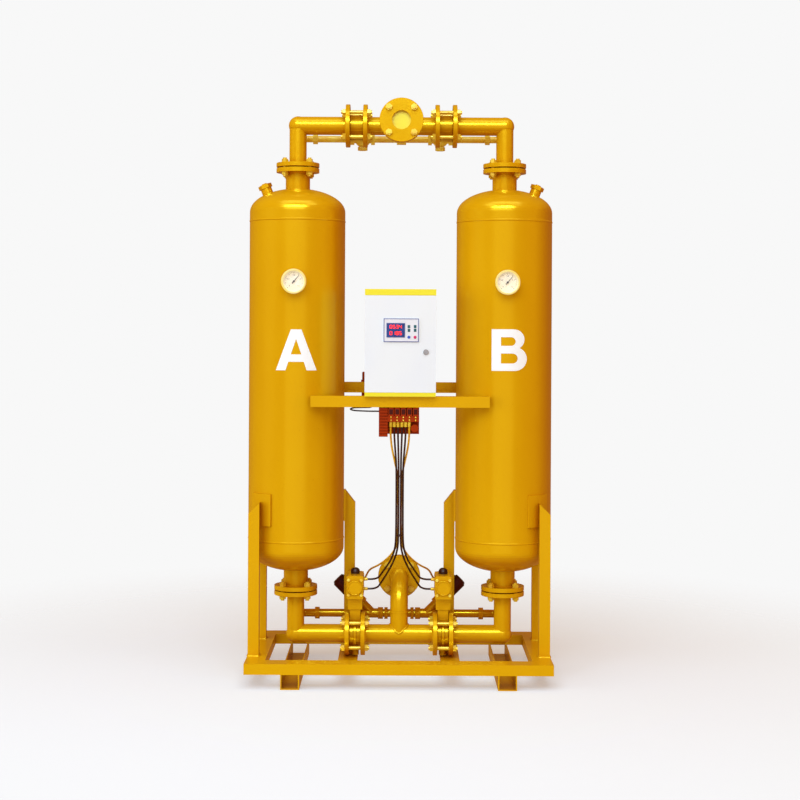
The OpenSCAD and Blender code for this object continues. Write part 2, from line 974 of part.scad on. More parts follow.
// Small pipe from a boss behind a spool, round a bend and along X
module side_run(axis_y, z, end_x, d, bore, bend_r, nut_af) {
    start_y = pipe_r + boss_reach;
    nut_w = 20;
    difference() {
        union() {
            translate([tower_x, start_y, z])
                along_y() cylinder(d = d, h = axis_y - bend_r - start_y);
            translate([tower_x, start_y, z])
                along_y() hexagon(nut_af, nut_w / 2);
            translate([tower_x - bend_r, axis_y - bend_r, z])
                bend(bend_r, d / 2);
            translate([end_x, axis_y, z])
                along_x() cylinder(d = d, h = tower_x - bend_r - end_x);
            translate([tower_x - 2 * bend_r - nut_w, axis_y, z])
                along_x() hexagon(nut_af, nut_w);
        }
        translate([tower_x, start_y - cut, z])
            along_y() cylinder(d = bore, h = axis_y - bend_r - start_y + cut);
        translate([tower_x - bend_r, axis_y - bend_r, z])
            bend(bend_r, bore / 2);
        translate([end_x - cut, axis_y, z])
            along_x() cylinder(d = bore, h = tower_x - bend_r - end_x + cut);
    }
}

purge_end = purge_valve_x + purge_valve_len / 2;
purge_start = purge_valve_x - purge_valve_len / 2;

module purge_end_pipes() {
    color(zinc)
    for (side = [0, 1])
        mirror([side, 0, 0])
            side_run(purge_y, purge_z, purge_end, purge_d, purge_bore, purge_bend, purge_d + 10);
}

module purge_bridge() {
    union_w = 40;
    color(zinc)
    difference() {
        union() {
            translate([-purge_start, purge_y, purge_z])
                along_x() cylinder(d = purge_d, h = 2 * purge_start);
            translate([-union_w / 2, purge_y, purge_z])
                along_x() hexagon(purge_d + 12, union_w);
        }
        translate([-purge_start - cut, purge_y, purge_z])
            along_x() cylinder(d = purge_bore, h = 2 * (purge_start + cut));
    }
}

// Bulb-shaped check valve with hexagon ends and a screwed cap below
module purge_check_valve() {
    end_w = 16;
    bulb_r = purge_bulb_d / 2;
    translate([purge_start, purge_y, purge_z])
        along_x() hexagon(purge_d + 14, end_w);
    translate([purge_end - end_w, purge_y, purge_z])
        along_x() hexagon(purge_d + 14, end_w);
    translate([purge_start + cut, purge_y, purge_z])
        along_x() cylinder(d = purge_d + 6, h = purge_valve_len - 2 * cut);
    translate([purge_valve_x, purge_y, purge_z]) {
        sphere(r = bulb_r);
        translate([0, 0, -bulb_r - 14]) hexagon(purge_d + 8, 16);
    }
}

module purge_check_valves() {
    color(zinc)
    for (side = [0, 1])
        mirror([side, 0, 0])
            purge_check_valve();
}

// Wafer body with a neck that carries the actuator
module butterfly_b_body() {
    rim = 6;
    rib_w = 14;
    neck_y = 46;
    block_w = 60;
    block_z = lower_z + flange_r + 15;
    boss_z = lower_z - flange_r + 2;
    color(paint)
    difference() {
        union() {
            translate([valve_face, 0, lower_z])
                along_x() turned(butterfly_d / 2 - rim, butterfly_len, 2);
            translate([butterfly_x - rib_w / 2, 0, lower_z])
                along_x() turned(butterfly_d / 2, rib_w, 2);
            translate([valve_face + 2, -neck_y / 2, lower_z])
                cube([butterfly_len - 4, neck_y, block_z - lower_z + cut]);
            translate([butterfly_x - block_w / 2, -block_w / 2, block_z])
                cube([block_w, block_w, actuator_z - block_z]);
            translate([butterfly_x, 0, boss_z])
                cylinder(r = stem_r + 9, h = lower_z - boss_z);
        }
        translate([valve_face - cut, 0, lower_z])
            along_x() cylinder(r = pipe_ri, h = butterfly_len + 2 * cut);
        translate([butterfly_x, 0, boss_z + rim])
            cylinder(r = stem_r + run_fit, h = actuator_z - boss_z);
    }
}

module butterfly_a_body() {
    on_a() butterfly_b_body();
}

stem_tail = 6;

module butterfly_b_disc() {
    disc_r = pipe_ri - disc_play;
    stem_z = lower_z - flange_r + 2 + stem_tail + seat;
    stem_top = actuator_z + actuator_h + stem_tail;
    color("silver") {
        translate([butterfly_x - disc_t / 2, 0, lower_z])
            along_x() turned(disc_r, disc_t, 1);
        translate([butterfly_x, 0, stem_z])
            cylinder(r = stem_r, h = stem_top - stem_z);
    }
}

module butterfly_a_disc() {
    on_a() butterfly_b_disc();
}

module position_indicator_b() {
    r = indicator_d / 2;
    color(dark)
        translate([butterfly_x, 0, actuator_z + actuator_h + seat])
            difference() {
                rotate_extrude()
                    polygon([
                        [0, 0], [r, 0], [r, indicator_h * 0.4], [r * 0.92, indicator_h * 0.62],
                        [r * 0.74, indicator_h * 0.82], [r * 0.4, indicator_h * 0.96], [0, indicator_h]
                    ]);
                translate([0, 0, -cut])
                    cylinder(r = stem_r + run_fit, h = stem_tail + cut);
            }
}

module position_indicator_a() {
    on_a() position_indicator_b();
}

// Section of the extruded actuator body, with a groove along each side
module actuator_section() {
    w = actuator_w / 2;
    chamfer = 10;
    groove = 3;
    mid = actuator_h / 2;
    polygon([
        [-w + chamfer, 0], [w - chamfer, 0], [w, chamfer],
        [w, mid - groove], [w - groove, mid], [w, mid + groove],
        [w, actuator_h - chamfer], [w - chamfer, actuator_h],
        [-w + chamfer, actuator_h], [-w, actuator_h - chamfer],
        [-w, mid + groove], [-w + groove, mid], [-w, mid - groove], [-w, chamfer]
    ]);
}

module actuator_b() {
    cap = 14;
    cover = 9;
    screw_d = 9;
    screw_rise = 0.32 * actuator_h;
    half = actuator_len / 2;
    color(paint)
    difference() {
        union() {
            translate([butterfly_x, half - cap, actuator_z])
                to_front()
                    linear_extrude(height = actuator_len - 2 * cap)
                        actuator_section();
            for (end = [0, 1])
                translate([butterfly_x, 0, actuator_z + actuator_h / 2])
                    rotate(180 * end)
                        to_front() {
                            translate([2 - actuator_w / 2, 2 - actuator_h / 2, half - cap - cut])
                                cube([actuator_w - 4, actuator_h - 4, cap + cut - cover]);
                            translate([0, 0, half - cover - cut])
                                turned(end_cover_d / 2, cover + cut, 2);
                            for (sx = [-1, 1])
                                for (sz = [-1, 1])
                                    translate([
                                        sx * (actuator_w / 2 - screw_d),
                                        sz * screw_rise,
                                        half - cover - cut
                                    ])
                                        cylinder(d = screw_d, h = 3 + cut);
                        }
        }
        translate([butterfly_x, 0, actuator_z - cut])
            cylinder(r = stem_r + run_fit, h = actuator_h + 2 * cut);
    }
}

module actuator_a() {
    on_a() actuator_b();
}

exhaust_end = exhaust_valve_x + exhaust_valve_len / 2;
exhaust_start = exhaust_valve_x - exhaust_valve_len / 2;

module exhaust_pipes() {
    color(paint)
    for (side = [0, 1])
        mirror([side, 0, 0])
            side_run(exhaust_y, exhaust_z, exhaust_end, exhaust_d, exhaust_bore,
                exhaust_bend, exhaust_af);
}

// Angle-seat valve: a slanted bonnet between two hexagon ends
module exhaust_valve() {
    end_w = 22;
    bonnet_d = 38;
    translate([exhaust_start, exhaust_y, exhaust_z])
        along_x() hexagon(exhaust_af, end_w);
    translate([exhaust_end - end_w, exhaust_y, exhaust_z])
        along_x() hexagon(exhaust_af, end_w);
    translate([exhaust_start + cut, exhaust_y, exhaust_z])
        along_x() cylinder(d = exhaust_af - 4, h = exhaust_valve_len - 2 * cut);
    translate([exhaust_valve_x, exhaust_y, exhaust_z])
        rotate([0, 45, 0]) {
            cylinder(d = bonnet_d, h = head_start);
            translate([0, 0, head_start - 2 * end_w])
                hexagon(exhaust_af, end_w);
        }
}

module exhaust_valves() {
    color(paint)
    for (side = [0, 1])
        mirror([side, 0, 0])
            exhaust_valve();
}

module exhaust_actuators() {
    lid = 12;
    color(dark)
    for (side = [0, 1])
        mirror([side, 0, 0])
            translate([exhaust_valve_x, exhaust_y, exhaust_z])
                rotate([0, 45, 0])
                    translate([0, 0, head_start]) {
                        turned(head_d / 2, head_len - lid / 2, 4);
                        translate([0, 0, head_len - lid])
                            turned(head_d / 2 - 6, lid, 2);
                    }
}

muffler_y = exhaust_y + 34;

module exhaust_tee() {
    color(paint)
    difference() {
        union() {
            translate([-exhaust_start, exhaust_y, exhaust_z])
                along_x() cylinder(d = exhaust_d, h = 2 * exhaust_start);
            for (side = [0, 1])
                mirror([side, 0, 0])
                    translate([exhaust_start - 20, exhaust_y, exhaust_z])
                        along_x() hexagon(exhaust_af, 14);
            translate([-26, exhaust_y, exhaust_z])
                along_x() turned(exhaust_d / 2 + 5, 52, 2);
            translate([0, exhaust_y, exhaust_z])
                along_y() cylinder(d = exhaust_d, h = muffler_y - exhaust_y);
        }
        translate([-exhaust_start - cut, exhaust_y, exhaust_z])
            along_x() cylinder(d = exhaust_bore, h = 2 * (exhaust_start + cut));
        translate([0, exhaust_y, exhaust_z])
            along_y() cylinder(d = exhaust_bore - 2 * branch_step, h = muffler_y - exhaust_y + cut);
    }
}

// Silencer with rings round its barrel
module muffler() {
    r = muffler_d / 2;
    cap = 12;
    rings = 5;
    pitch = (muffler_len - 2 * cap) / rings;
    color("silver")
        translate([0, muffler_y, exhaust_z])
            along_y()
                rotate_extrude()
                    polygon(concat(
                        [[0, 0], [exhaust_af / 2, 0], [r, cap]],
                        [for (k = [0:rings - 1]) each [
                            [r, cap + pitch * (k + 0.3)], [r - 4, cap + pitch * (k + 0.4)],
                            [r - 4, cap + pitch * (k + 0.7)], [r, cap + pitch * (k + 0.8)]
                        ]],
                        [[r, muffler_len - cap], [r - cap / 2, muffler_len], [0, muffler_len]]
                    ));
}

module gasket() {
    difference() {
        cylinder(r = seal_r, h = gasket_t);
        translate([0, 0, -cut]) cylinder(r = nozzle_ri, h = gasket_t + 2 * cut);
    }
}

module flange_gaskets() {
    color("dimgray")
    for (side = [-1, 1])
        for (z = [low_joint - gasket_t, top_joint])
            translate([side * tower_x, 0, z]) gasket();
}

// Stud with a nut at each end of its grip
module stud(grip) {
    translate([0, 0, -nut_h]) hexagon(nut_af, nut_h);
    translate([0, 0, grip]) hexagon(nut_af, nut_h);
    translate([0, 0, -nut_h - bolt_tail])
        cylinder(d = bolt_d, h = grip + 2 * (nut_h + bolt_tail));
}

module stud_ring(grip) {
    bolt_circle() stud(grip);
}

module flange_bolts() {
    pair = 2 * flange_t;
    color(zinc) {
        for (side = [0, 1])
            mirror([side, 0, 0]) {
                translate([tower_x, 0, low_joint - gasket_t - flange_t])
                    stud_ring(pair + gasket_t);
                translate([tower_x, 0, top_joint - flange_t])
                    stud_ring(pair + gasket_t);
                translate([valve_face - flange_t, 0, upper_z])
                    along_x() stud_ring(pair + check_len);
                translate([valve_face - flange_t, 0, lower_z])
                    along_x() stud_ring(pair + butterfly_len);
            }
        translate([0, outlet_face + flange_t, upper_z])
            to_front() stud_ring(pair + cover_t);
        translate([0, inlet_elbow_r, inlet_z])
            along_y() stud_ring(pair + cover_t);
    }
}

// Sheet box with an open front, a rim round its mouth and a cable bushing
module control_box() {
    half = box_w / 2;
    bushing_r = 9;
    color(white)
    difference() {
        union() {
            translate([-half, box_face, box_z])
                cube([box_w, box_back - box_face, box_h]);
            translate([cable_start.x, cable_start.y, cable_start.z])
                cylinder(r = bushing_r, h = box_z - cable_start.z + cut);
        }
        translate([-half + sheet_t, box_face + sheet_t, box_z + sheet_t])
            cube([box_w - 2 * sheet_t, box_back - box_face - 2 * sheet_t, box_h - 2 * sheet_t]);
        translate([-half + rim_w, box_face - cut, box_z + trim_low + rim_w])
            cube([box_w - 2 * rim_w, box_d / 2, box_h - trim_low - trim_top - 2 * rim_w]);
    }
}

module box_trims() {
    color(trim_yellow)
    difference() {
        for (strip = [[box_z, trim_low], [box_top - trim_top, trim_top]])
            translate([-box_w / 2, door_face, strip[0]])
                cube([box_w, door_t + door_gap, strip[1]]);
        translate([pivot_x, pivot_y, door_low - pivot_len - cut])
            cylinder(r = pivot_r + run_fit, h = door_high - door_low + 2 * (pivot_len + cut));
    }
}

pivot_len = 8;
lock_bore = lock_d / 2 - 2;

// Folded door tray on two pivot pins, with cut-outs for panel and lock
module control_door() {
    half = box_w / 2;
    door_h = door_high - door_low;
    color(white)
    difference() {
        union() {
            difference() {
                translate([-half, door_face, door_low])
                    cube([box_w, door_t, door_h]);
                translate([-half + sheet_t, door_face + sheet_t, door_low + sheet_t])
                    cube([box_w - 2 * sheet_t, door_t, door_h - 2 * sheet_t]);
                translate([-half - cut, pivot_y, door_low - cut])
                    cube([pivot_inset + cut - pivot_notch, door_t, door_h + 2 * cut]);
            }
            for (z = [door_low - pivot_len, door_high - sheet_t])
                translate([pivot_x, pivot_y, z])
                    cylinder(r = pivot_r, h = pivot_len + sheet_t);
        }
        translate([panel_x - panel_w / 2 + 6, door_face - cut, panel_z - panel_h / 2 + 6])
            cube([panel_w - 12, door_t, panel_h - 12]);
        translate([lock_x, door_face - cut, lock_z])
            along_y() cylinder(r = lock_bore + run_fit, h = door_t);
    }
}

// Quarter-turn lock: ring, barrel and a cam that swings behind the rim
module door_lock() {
    cam_y = box_face + sheet_t + 2;
    cam_len = box_w / 2 - lock_x - 4;
    ring_t = 4;
    color("silver")
        translate([lock_x, 0, lock_z]) {
            translate([0, door_face - seat - ring_t, 0])
                along_y()
                    difference() {
                        turned(lock_d / 2, ring_t, 1);
                        translate([-lock_d / 4, -1, -cut]) cube([lock_d / 2, 2, 2 * cut]);
                    }
            translate([0, door_face - seat - cut, 0])
                along_y() cylinder(r = lock_bore, h = cam_y - door_face + seat + cut + 3);
            translate([-lock_bore, cam_y, -cam_len])
                cube([2 * lock_bore, 3, cam_len]);
        }
}

// Display with a clear front plate and a housing behind the door
module display_panel() {
    inset = 6 + seat;
    color("lightsteelblue")
    difference() {
        union() {
            translate([panel_x - panel_w / 2, door_face - panel_t, panel_z - panel_h / 2])
                cube([panel_w, panel_t, panel_h]);
            translate([panel_x - panel_w / 2 + inset, door_face - cut, panel_z - panel_h / 2 + inset])
                cube([panel_w - 2 * inset, panel_back + cut, panel_h - 2 * inset]);
        }
        for (k = [0, 1])
            translate([button_x + button_gap * k, door_face, button_z]) {
                translate([0, -panel_t - cut, 0])
                    along_y() cylinder(d = button_d + 2 * run_fit, h = panel_t + 2 * cut);
                along_y() cylinder(d = button_d + 4, h = panel_back - 2);
            }
    }
}

// Push button with a collar that stops it behind the plate
module push_button(k) {
    proud = 3;
    translate([button_x + button_gap * k, door_face, button_z]) {
        translate([0, -panel_t - proud, 0])
            along_y() turned(button_d / 2, panel_t + proud + 2, 1);
        translate([0, seat, 0])
            along_y() cylinder(d = button_d + 3, h = 2);
    }
}

module run_button() {
    color("royalblue") push_button(0);
}

module stop_button() {
    color("crimson") push_button(1);
}

// Back plate in the box with the timer, a transformer and a terminal row
module controller_plate() {
    plate_t = 3;
    margin = 24;
    plate_y = box_back - sheet_t;
    low = box_z + trim_low + margin;
    inner_w = box_w - 2 * margin;
    inner_h = box_h - trim_low - trim_top - 2 * margin;
    pitch = inner_w / 15;
    color("darkseagreen") {
        translate([-inner_w / 2, plate_y - plate_t, low])
            cube([inner_w, plate_t, inner_h]);
        translate([-0.375 * inner_w, plate_y - plate_t - 48, low + 0.55 * inner_h])
            cube([0.625 * inner_w, 49, 0.32 * inner_h]);
        translate([-0.4 * inner_w, plate_y - plate_t - 60, low + 0.23 * inner_h])
            cube([0.35 * inner_w, 61, 0.22 * inner_h]);
        for (k = [0:11])
            translate([-0.4 * inner_w + pitch * k, plate_y - plate_t - 36, low + 0.046 * inner_h])
                cube([0.875 * pitch, 37, 0.128 * inner_h]);
    }
}

// Valve manifold under the front beam, with a ribbed coil block on the left
module solenoid_bank() {
    left = bank_x - bank_w / 2;
    coil_w = 36;
    rib = 4;
    low = bank_top - bank_h;
    valve_w = 21;
    plate_t = 5;
    color(dark) {
        translate([left, bank_back - plate_t, low + 10])
            cube([bank_w, plate_t, bank_h - 10]);
        translate([left, bank_front + rib, low])
            cube([coil_w, bank_d - rib, bank_h]);
        for (k = [0:9])
            translate([left, bank_front, low + 2 + 12 * k])
                cube([coil_w, bank_d / 2, 7]);
        translate([left + coil_w - cut, bank_front + 2, manifold_z])
            cube([bank_w - coil_w + cut, bank_d - 2, 24]);
        for (k = [0:4])
            translate([left + coil_w + 3 + (valve_w + 4) * k, bank_front, manifold_z + 23])
                cube([valve_w, bank_d - 1, bank_top - manifold_z - 23]);
        translate([bank_x + bank_w / 2 - 18, bank_back - plate_t + cut, low + 34])
            to_front() turned(16, bank_d - plate_t, 3);
    }
}

module fitting(length) {
    turned(fitting_d / 2, length, 1);
    hexagon(0.96 * fitting_d, length / 3);
}

fitting_x = [-8, -23, -38];

// Fittings of one side: three under the bank, two on the actuator, one on the piston head
module side_fittings() {
    for (k = [0:2])
        translate([fitting_x[k], fitting_y, manifold_z])
            mirror([0, 0, 1]) fitting(fitting_len);
    translate([-butterfly_x + actuator_w / 2, 0, actuator_z])
        for (k = [0, 1])
            translate([0, port_y * (2 * k - 1), port_rise[k]])
                along_x() fitting(port_reach);
    translate([-exhaust_valve_x, exhaust_y, exhaust_z])
        rotate([0, -45, 0])
            translate([head_d / 2, 0, head_port])
                along_x() fitting(port_reach);
}

module push_in_fittings() {
    color(zinc)
    for (side = [0, 1])
        mirror([side, 0, 0])
            side_fittings();
}

// Routes of the three air tubes of the A side, from the bank to the valves
tube_routes = [
    [[-23, -212, 1040], [-23, -212, 1005], [-19, -212, 950], [-14, -212, 890], [-13.5, -212, 800],
        [-13.5, -212, 600], [-17, -204, 545], [-33, -176, 495], [-60, -118, 448], [-81.9, -43.7, 406],
        [-91.1, -25.7, 396], [-109.9, -15, 390], [-132.5, -15, 390]],
    [[-8, -212, 1040], [-8, -212, 1005], [-6, -214, 950], [-4.6, -217, 880], [-4.6, -217, 740],
        [-4.6, -217, 600], [-6, -208, 548], [-20, -178, 495], [-48, -112, 432], [-81.1, -12.3, 367.5],
        [-89.5, 4.7, 353.5], [-108.9, 15, 345], [-132.5, 15, 345]],
    [[-38, -212, 1040], [-38, -212, 1008], [-34, -205, 960], [-22, -198, 905], [-6, -200, 835],
        [-4.6, -207, 600], [-12, -186, 548], [-40, -128, 500], [-85, -40, 452], [-126, 70, 420],
        [-142.2, 151.9, 377.2], [-147, 169.7, 367.6], [-158.2, 180, 353.6], [-172.9, 180, 338.9]]
];

// Route of the control cable, from the box to the left end of the bank
cable_start = [-100, -150, 1152];
cable_route = [
    cable_start, [-100, -150, 1137.2], [-107.3, -150.9, 1124.3], [-120, -152.6, 1116.7],
    [-134.7, -154.5, 1116.4], [-170.4, -159.1, 1115.9], [-187.1, -161.3, 1115.5],
    [-199.6, -172.5, 1113.5], [-203.5, -188.8, 1111], [-197.5, -204.5, 1108.5], [-183.7, -214, 1106.5],
    [-166.9, -214, 1105.5], [-126, -212.5, 1104], [-106, -212, 1104], [-86, -212, 1104]
];

function unit(v) = v / norm(v);

function heading(p, i) = unit(p[min(i + 1, len(p) - 1)] - p[max(i - 1, 0)]);

function carried(n, t) = unit(n - (n * t) * t);

function normals(p, i = 0, last = [0, 1, 0]) =
    i == len(p) ? [] :
    let (n = carried(last, heading(p, i)))
        concat([n], normals(p, i + 1, n));

// Round tube swept along the points of a route
module swept_tube(route, d, sides) {
    n = normals(route);
    rings = len(route);
    points = [
        for (i = [0:rings - 1])
            let (side_dir = cross(heading(route, i), n[i]))
                for (k = [0:sides - 1])
                    let (a = 360 * k / sides)
                        route[i] + d / 2 * (cos(a) * n[i] + sin(a) * side_dir)
    ];
    walls = [
        for (i = [0:rings - 2])
            for (k = [0:sides - 1])
                let (next = (k + 1) % sides)
                    [i * sides + k, (i + 1) * sides + k, (i + 1) * sides + next, i * sides + next]
    ];
    first_cap = [for (k = [0:sides - 1]) k];
    last_cap = [for (k = [sides - 1:-1:0]) (rings - 1) * sides + k];
    polyhedron(points = points, faces = concat(walls, [first_cap, last_cap]), convexity = 4);
}

module air_tubes_a() {
    color(dark)
    for (route = tube_routes)
        swept_tube(route, tube_d, 10);
}

module air_tubes_b() {
    on_a() air_tubes_a();
}

module control_cable() {
    color("black") swept_tube(cable_route, cable_d, 8);
}

// Filter regulator for the pilot air, hung behind the rear beam
module pilot_filter() {
    body_w = 42;
    body_h = 46;
    x = -149;
    y = beam_front;
    top = rear_beam_z + beam_leg + 8;
    color(dark) {
        translate([x - body_w / 2, y, top - body_h]) cube([body_w, body_w, body_h]);
        translate([x, y + body_w / 2, top - cut]) turned(17, 36, 3);
        translate([x, y + body_w / 2, top - body_h - 56]) turned(19, 57, 4);
    }
}

base_frame();
tower_a_legs();
tower_b_legs();
front_support_beam();
rear_support_beam();
vessel_a();
vessel_b();
desiccant_beds();
bed_screens();
fill_caps();
gauge_cases();
gauge_dials();
gauge_glasses();
gauge_a_needle();
gauge_b_needle();
outlet_spool_a();
outlet_spool_b();
outlet_tee();
outlet_companion_flange();
check_valve_a_body();
check_valve_b_body();
check_valve_a_flap();
check_valve_b_flap();
purge_end_pipes();
purge_bridge();
purge_check_valves();
inlet_spool_a();
inlet_spool_b();
inlet_tee();
inlet_companion_flange();
butterfly_a_body();
butterfly_b_body();
butterfly_a_disc();
butterfly_b_disc();
position_indicator_a();
position_indicator_b();
actuator_a();
actuator_b();
exhaust_pipes();
exhaust_valves();
exhaust_actuators();
exhaust_tee();
muffler();
flange_gaskets();
flange_bolts();
port_covers();
control_box();
box_trims();
control_door();
door_lock();
display_panel();
run_button();
stop_button();
controller_plate();
solenoid_bank();
push_in_fittings();
air_tubes_a();
air_tubes_b();
control_cable();
pilot_filter();
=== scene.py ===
# %% [markdown]
# # A twin-tower air dryer
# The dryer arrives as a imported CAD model: towers, pipes, valves and cabinet, all in metres and all in place.
# This lesson dresses it. Each step names a real piece, says how it could be made, and makes it the short way.

# %% Load the frame
import bmesh
import bpy
import math
from mathutils import Matrix, Vector


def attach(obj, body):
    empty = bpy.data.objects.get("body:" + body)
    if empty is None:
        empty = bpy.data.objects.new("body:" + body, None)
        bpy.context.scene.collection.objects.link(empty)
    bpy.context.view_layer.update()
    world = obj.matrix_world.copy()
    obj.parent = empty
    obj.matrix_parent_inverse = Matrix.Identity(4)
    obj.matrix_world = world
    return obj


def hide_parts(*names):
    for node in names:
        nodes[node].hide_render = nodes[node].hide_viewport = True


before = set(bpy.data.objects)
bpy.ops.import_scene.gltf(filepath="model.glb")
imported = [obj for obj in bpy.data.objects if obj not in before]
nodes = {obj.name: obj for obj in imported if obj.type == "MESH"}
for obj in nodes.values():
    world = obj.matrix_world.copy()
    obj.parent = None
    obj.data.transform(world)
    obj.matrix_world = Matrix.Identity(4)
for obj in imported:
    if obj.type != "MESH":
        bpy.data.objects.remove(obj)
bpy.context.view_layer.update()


def into_scene(name, data):
    thing = bpy.data.objects.new(name, data)
    bpy.context.scene.collection.objects.link(thing)
    return thing


# %% [markdown]
# ## Camera
# The picture was taken from well back with a level camera, so the towers stay upright in it. Tilting the camera
# down to the skid would make them lean. A long lens with a small downward shift gives the same framing.

# %% Camera
PHOTO_PX = 800
LENS_PX = 1581
SHIFT_PX = (-0.5, -73)
SENSOR_MM = 36
CAMERA_SPOT = (0, -6.64, 1.447)
ROLL_DEGREES = -0.3

eye = bpy.data.cameras.new("eye")
eye.sensor_width = SENSOR_MM
eye.lens = SENSOR_MM * LENS_PX / PHOTO_PX
eye.shift_x, eye.shift_y = (shift / PHOTO_PX for shift in SHIFT_PX)
camera = into_scene("camera", eye)
camera.location = CAMERA_SPOT
camera.rotation_euler = (math.pi / 2, math.radians(ROLL_DEGREES), 0)
bpy.context.scene.camera = camera
bpy.context.scene.view_settings.view_transform = "Standard"
print("lens", round(eye.lens, 1), "mm")

# %% [markdown]
# ## Finishes as expressions
# A finish is a small network of shader nodes. Writing it as wires and boxes in Python gets long, so one class
# wraps a socket and lets it take part in sums, and one method makes every other node.

# %% Sockets that add and multiply
class Wire:
    def __init__(self, finish, socket):
        self.finish = finish
        self.socket = socket

    def maths(self, operation, a, b):
        return self.finish.node("ShaderNodeMath", {"operation": operation}, {0: a, 1: b})

    def __add__(self, other):
        return self.maths("ADD", self, other)

    def __sub__(self, other):
        return self.maths("SUBTRACT", self, other)

    def __rsub__(self, other):
        return self.maths("SUBTRACT", other, self)

    def __mul__(self, other):
        return self.maths("MULTIPLY", self, other)

    __radd__ = __add__
    __rmul__ = __mul__

    # A smooth step: 0 below low, 1 above high.
    def span(self, low, high):
        settings = {"interpolation_type": "SMOOTHSTEP"}
        return self.finish.node("ShaderNodeMapRange", settings, {0: self, 1: low, 2: high})


class Finish:
    def __init__(self, name, **fixed):
        self.material = bpy.data.materials.new(name)
        self.material.use_nodes = True
        self.tree = self.material.node_tree
        self.shader = self.tree.nodes["Principled BSDF"]
        for label, value in fixed.items():
            self.shader.inputs[label.replace("_", " ")].default_value = value

    def feed(self, socket, value):
        if isinstance(value, Wire):
            self.tree.links.new(value.socket, socket)
        else:
            socket.default_value = value

    def node(self, kind, settings, inputs, out=0):
        made = self.tree.nodes.new(kind)
        for label, value in settings.items():
            setattr(made, label, value)
        for place, value in inputs.items():
            self.feed(made.inputs[place], value)
        return Wire(self, made.outputs[out])

    def place(self, stretch=(1, 1, 1)):
        here = self.node("ShaderNodeTexCoord", {}, {}, "Object")
        return self.node("ShaderNodeMapping", {}, {"Vector": here, "Scale": stretch})

    def along(self, axis):
        return self.node("ShaderNodeSeparateXYZ", {}, {0: self.place()}, axis)

    def noise(self, scale, detail=3.0, stretch=(1, 1, 1)):
        inputs = {"Vector": self.place(stretch), "Scale": scale, "Detail": detail}
        return self.node("ShaderNodeTexNoise", {}, inputs)

    def blend(self, factor, first, second):
        return self.node("ShaderNodeMix", {"data_type": "RGBA"}, {0: factor, 6: first, 7: second}, 2)

    def facing(self, axis):
        normal = self.node("ShaderNodeNewGeometry", {}, {}, "Normal")
        return self.node("ShaderNodeSeparateXYZ", {}, {0: normal}, axis)

    def bump(self, height, strength, distance):
        inputs = {"Height": height, "Strength": strength, "Distance": distance}
        return self.node("ShaderNodeBump", {}, inputs, "Normal")

    def wear(self, **linked):
        for label, value in linked.items():
            self.feed(self.shader.inputs[label.replace("_", " ")], value)
        return self.material


# A colour code from a paint card, turned into the linear light that the shader works in.
def shade(code):
    parts = [int(code[i:i + 2], 16) / 255 for i in (1, 3, 5)]
    return tuple(p / 12.92 if p <= 0.04045 else ((p + 0.055) / 1.055) ** 2.4 for p in parts) + (1.0,)


print("amber in linear light", [round(v, 3) for v in shade("#E0AC0A")])

# %% [markdown]
# ## Amber enamel
# Most of the dryer is sprayed with one glossy amber enamel. It isn't one flat colour: it runs a little deeper where
# the coat is thick, it has small brown specks, and its gloss has a fine orange peel. Its colour also carries painted
# shade: it turns brown on undersides, on the flank that faces +X and in tight corners. Painting that by hand would
# fit one shape only. Noise, the way a surface faces and how much of the sky it sees put it on every piece at once.

# %% Amber enamel
CORNER_REACH = 0.12


def enamel(name, body, deep, under, gleam, rough=0.17):
    f = Finish(name, IOR=1.8, Coat_Roughness=0.1, Specular_IOR_Level=1.0, Specular_Tint=shade(gleam))
    cloud = f.noise(2.6, 4.0)
    runs = f.noise(9.0, 2.0, (1, 1, 0.12))
    specks = f.noise(160.0, 2.0)
    patch = (cloud * 0.6 + runs * 0.4).span(0.38, 0.66)
    # Painted shade: the colour is blended to brown on faces that look down, on the flank that faces +X and where the
    # ambient occlusion node finds a tight corner. Only the specks are brown in the paint itself.
    below = (0 - f.facing("Z")).span(0.05, 0.8)
    shaded_flank = f.facing("X").span(0.55, 1.0)
    open_sky = f.node("ShaderNodeAmbientOcclusion", {"samples": 6}, {"Distance": CORNER_REACH}, "AO")
    colour = f.blend(patch * 0.3, shade(body), shade(deep))
    for shade_and_speck in (shaded_flank * 0.62, below * 0.6, specks.span(0.66, 0.78) * 0.22, (1 - open_sky).span(0.25, 0.9) * 0.75):
        colour = f.blend(shade_and_speck, colour, shade(under))
    peel = f.noise(420.0, 1.0) * 0.5 + cloud * 0.5
    return f.wear(Base_Color=colour, Roughness=rough + 0.1 * runs, Coat_Weight=0.03 - 0.02 * below,
                  Normal=f.bump(peel, 0.16, 0.0006))


amber = enamel("amber_enamel", "#E0AC0A", "#D59A06", "#A84A00", "#FFE830")
strip_yellow = enamel("strip_yellow", "#F4F022", "#ECE014", "#D8B414", "#FFF88C", rough=0.25)
# amber_shaded is the same enamel made darker for the exhaust pipes and valves, which stand in shadow at the back: a
# painted shade.
amber_shaded = enamel("amber_shaded", "#C67A08", "#B86A06", "#8C3E02", "#FFE830")
print("made", amber.name, strip_yellow.name, amber_shaded.name)

# %% [markdown]
# ## White sheet and dark castings
# The cabinet is powder-coated sheet, cool white and a little pebbled. The pilot valves are warm red-brown castings,
# and the actuators' heads and knobs are nearly black. All of them are dull coats over a fine grain, so one recipe
# with another colour and grain does for all.

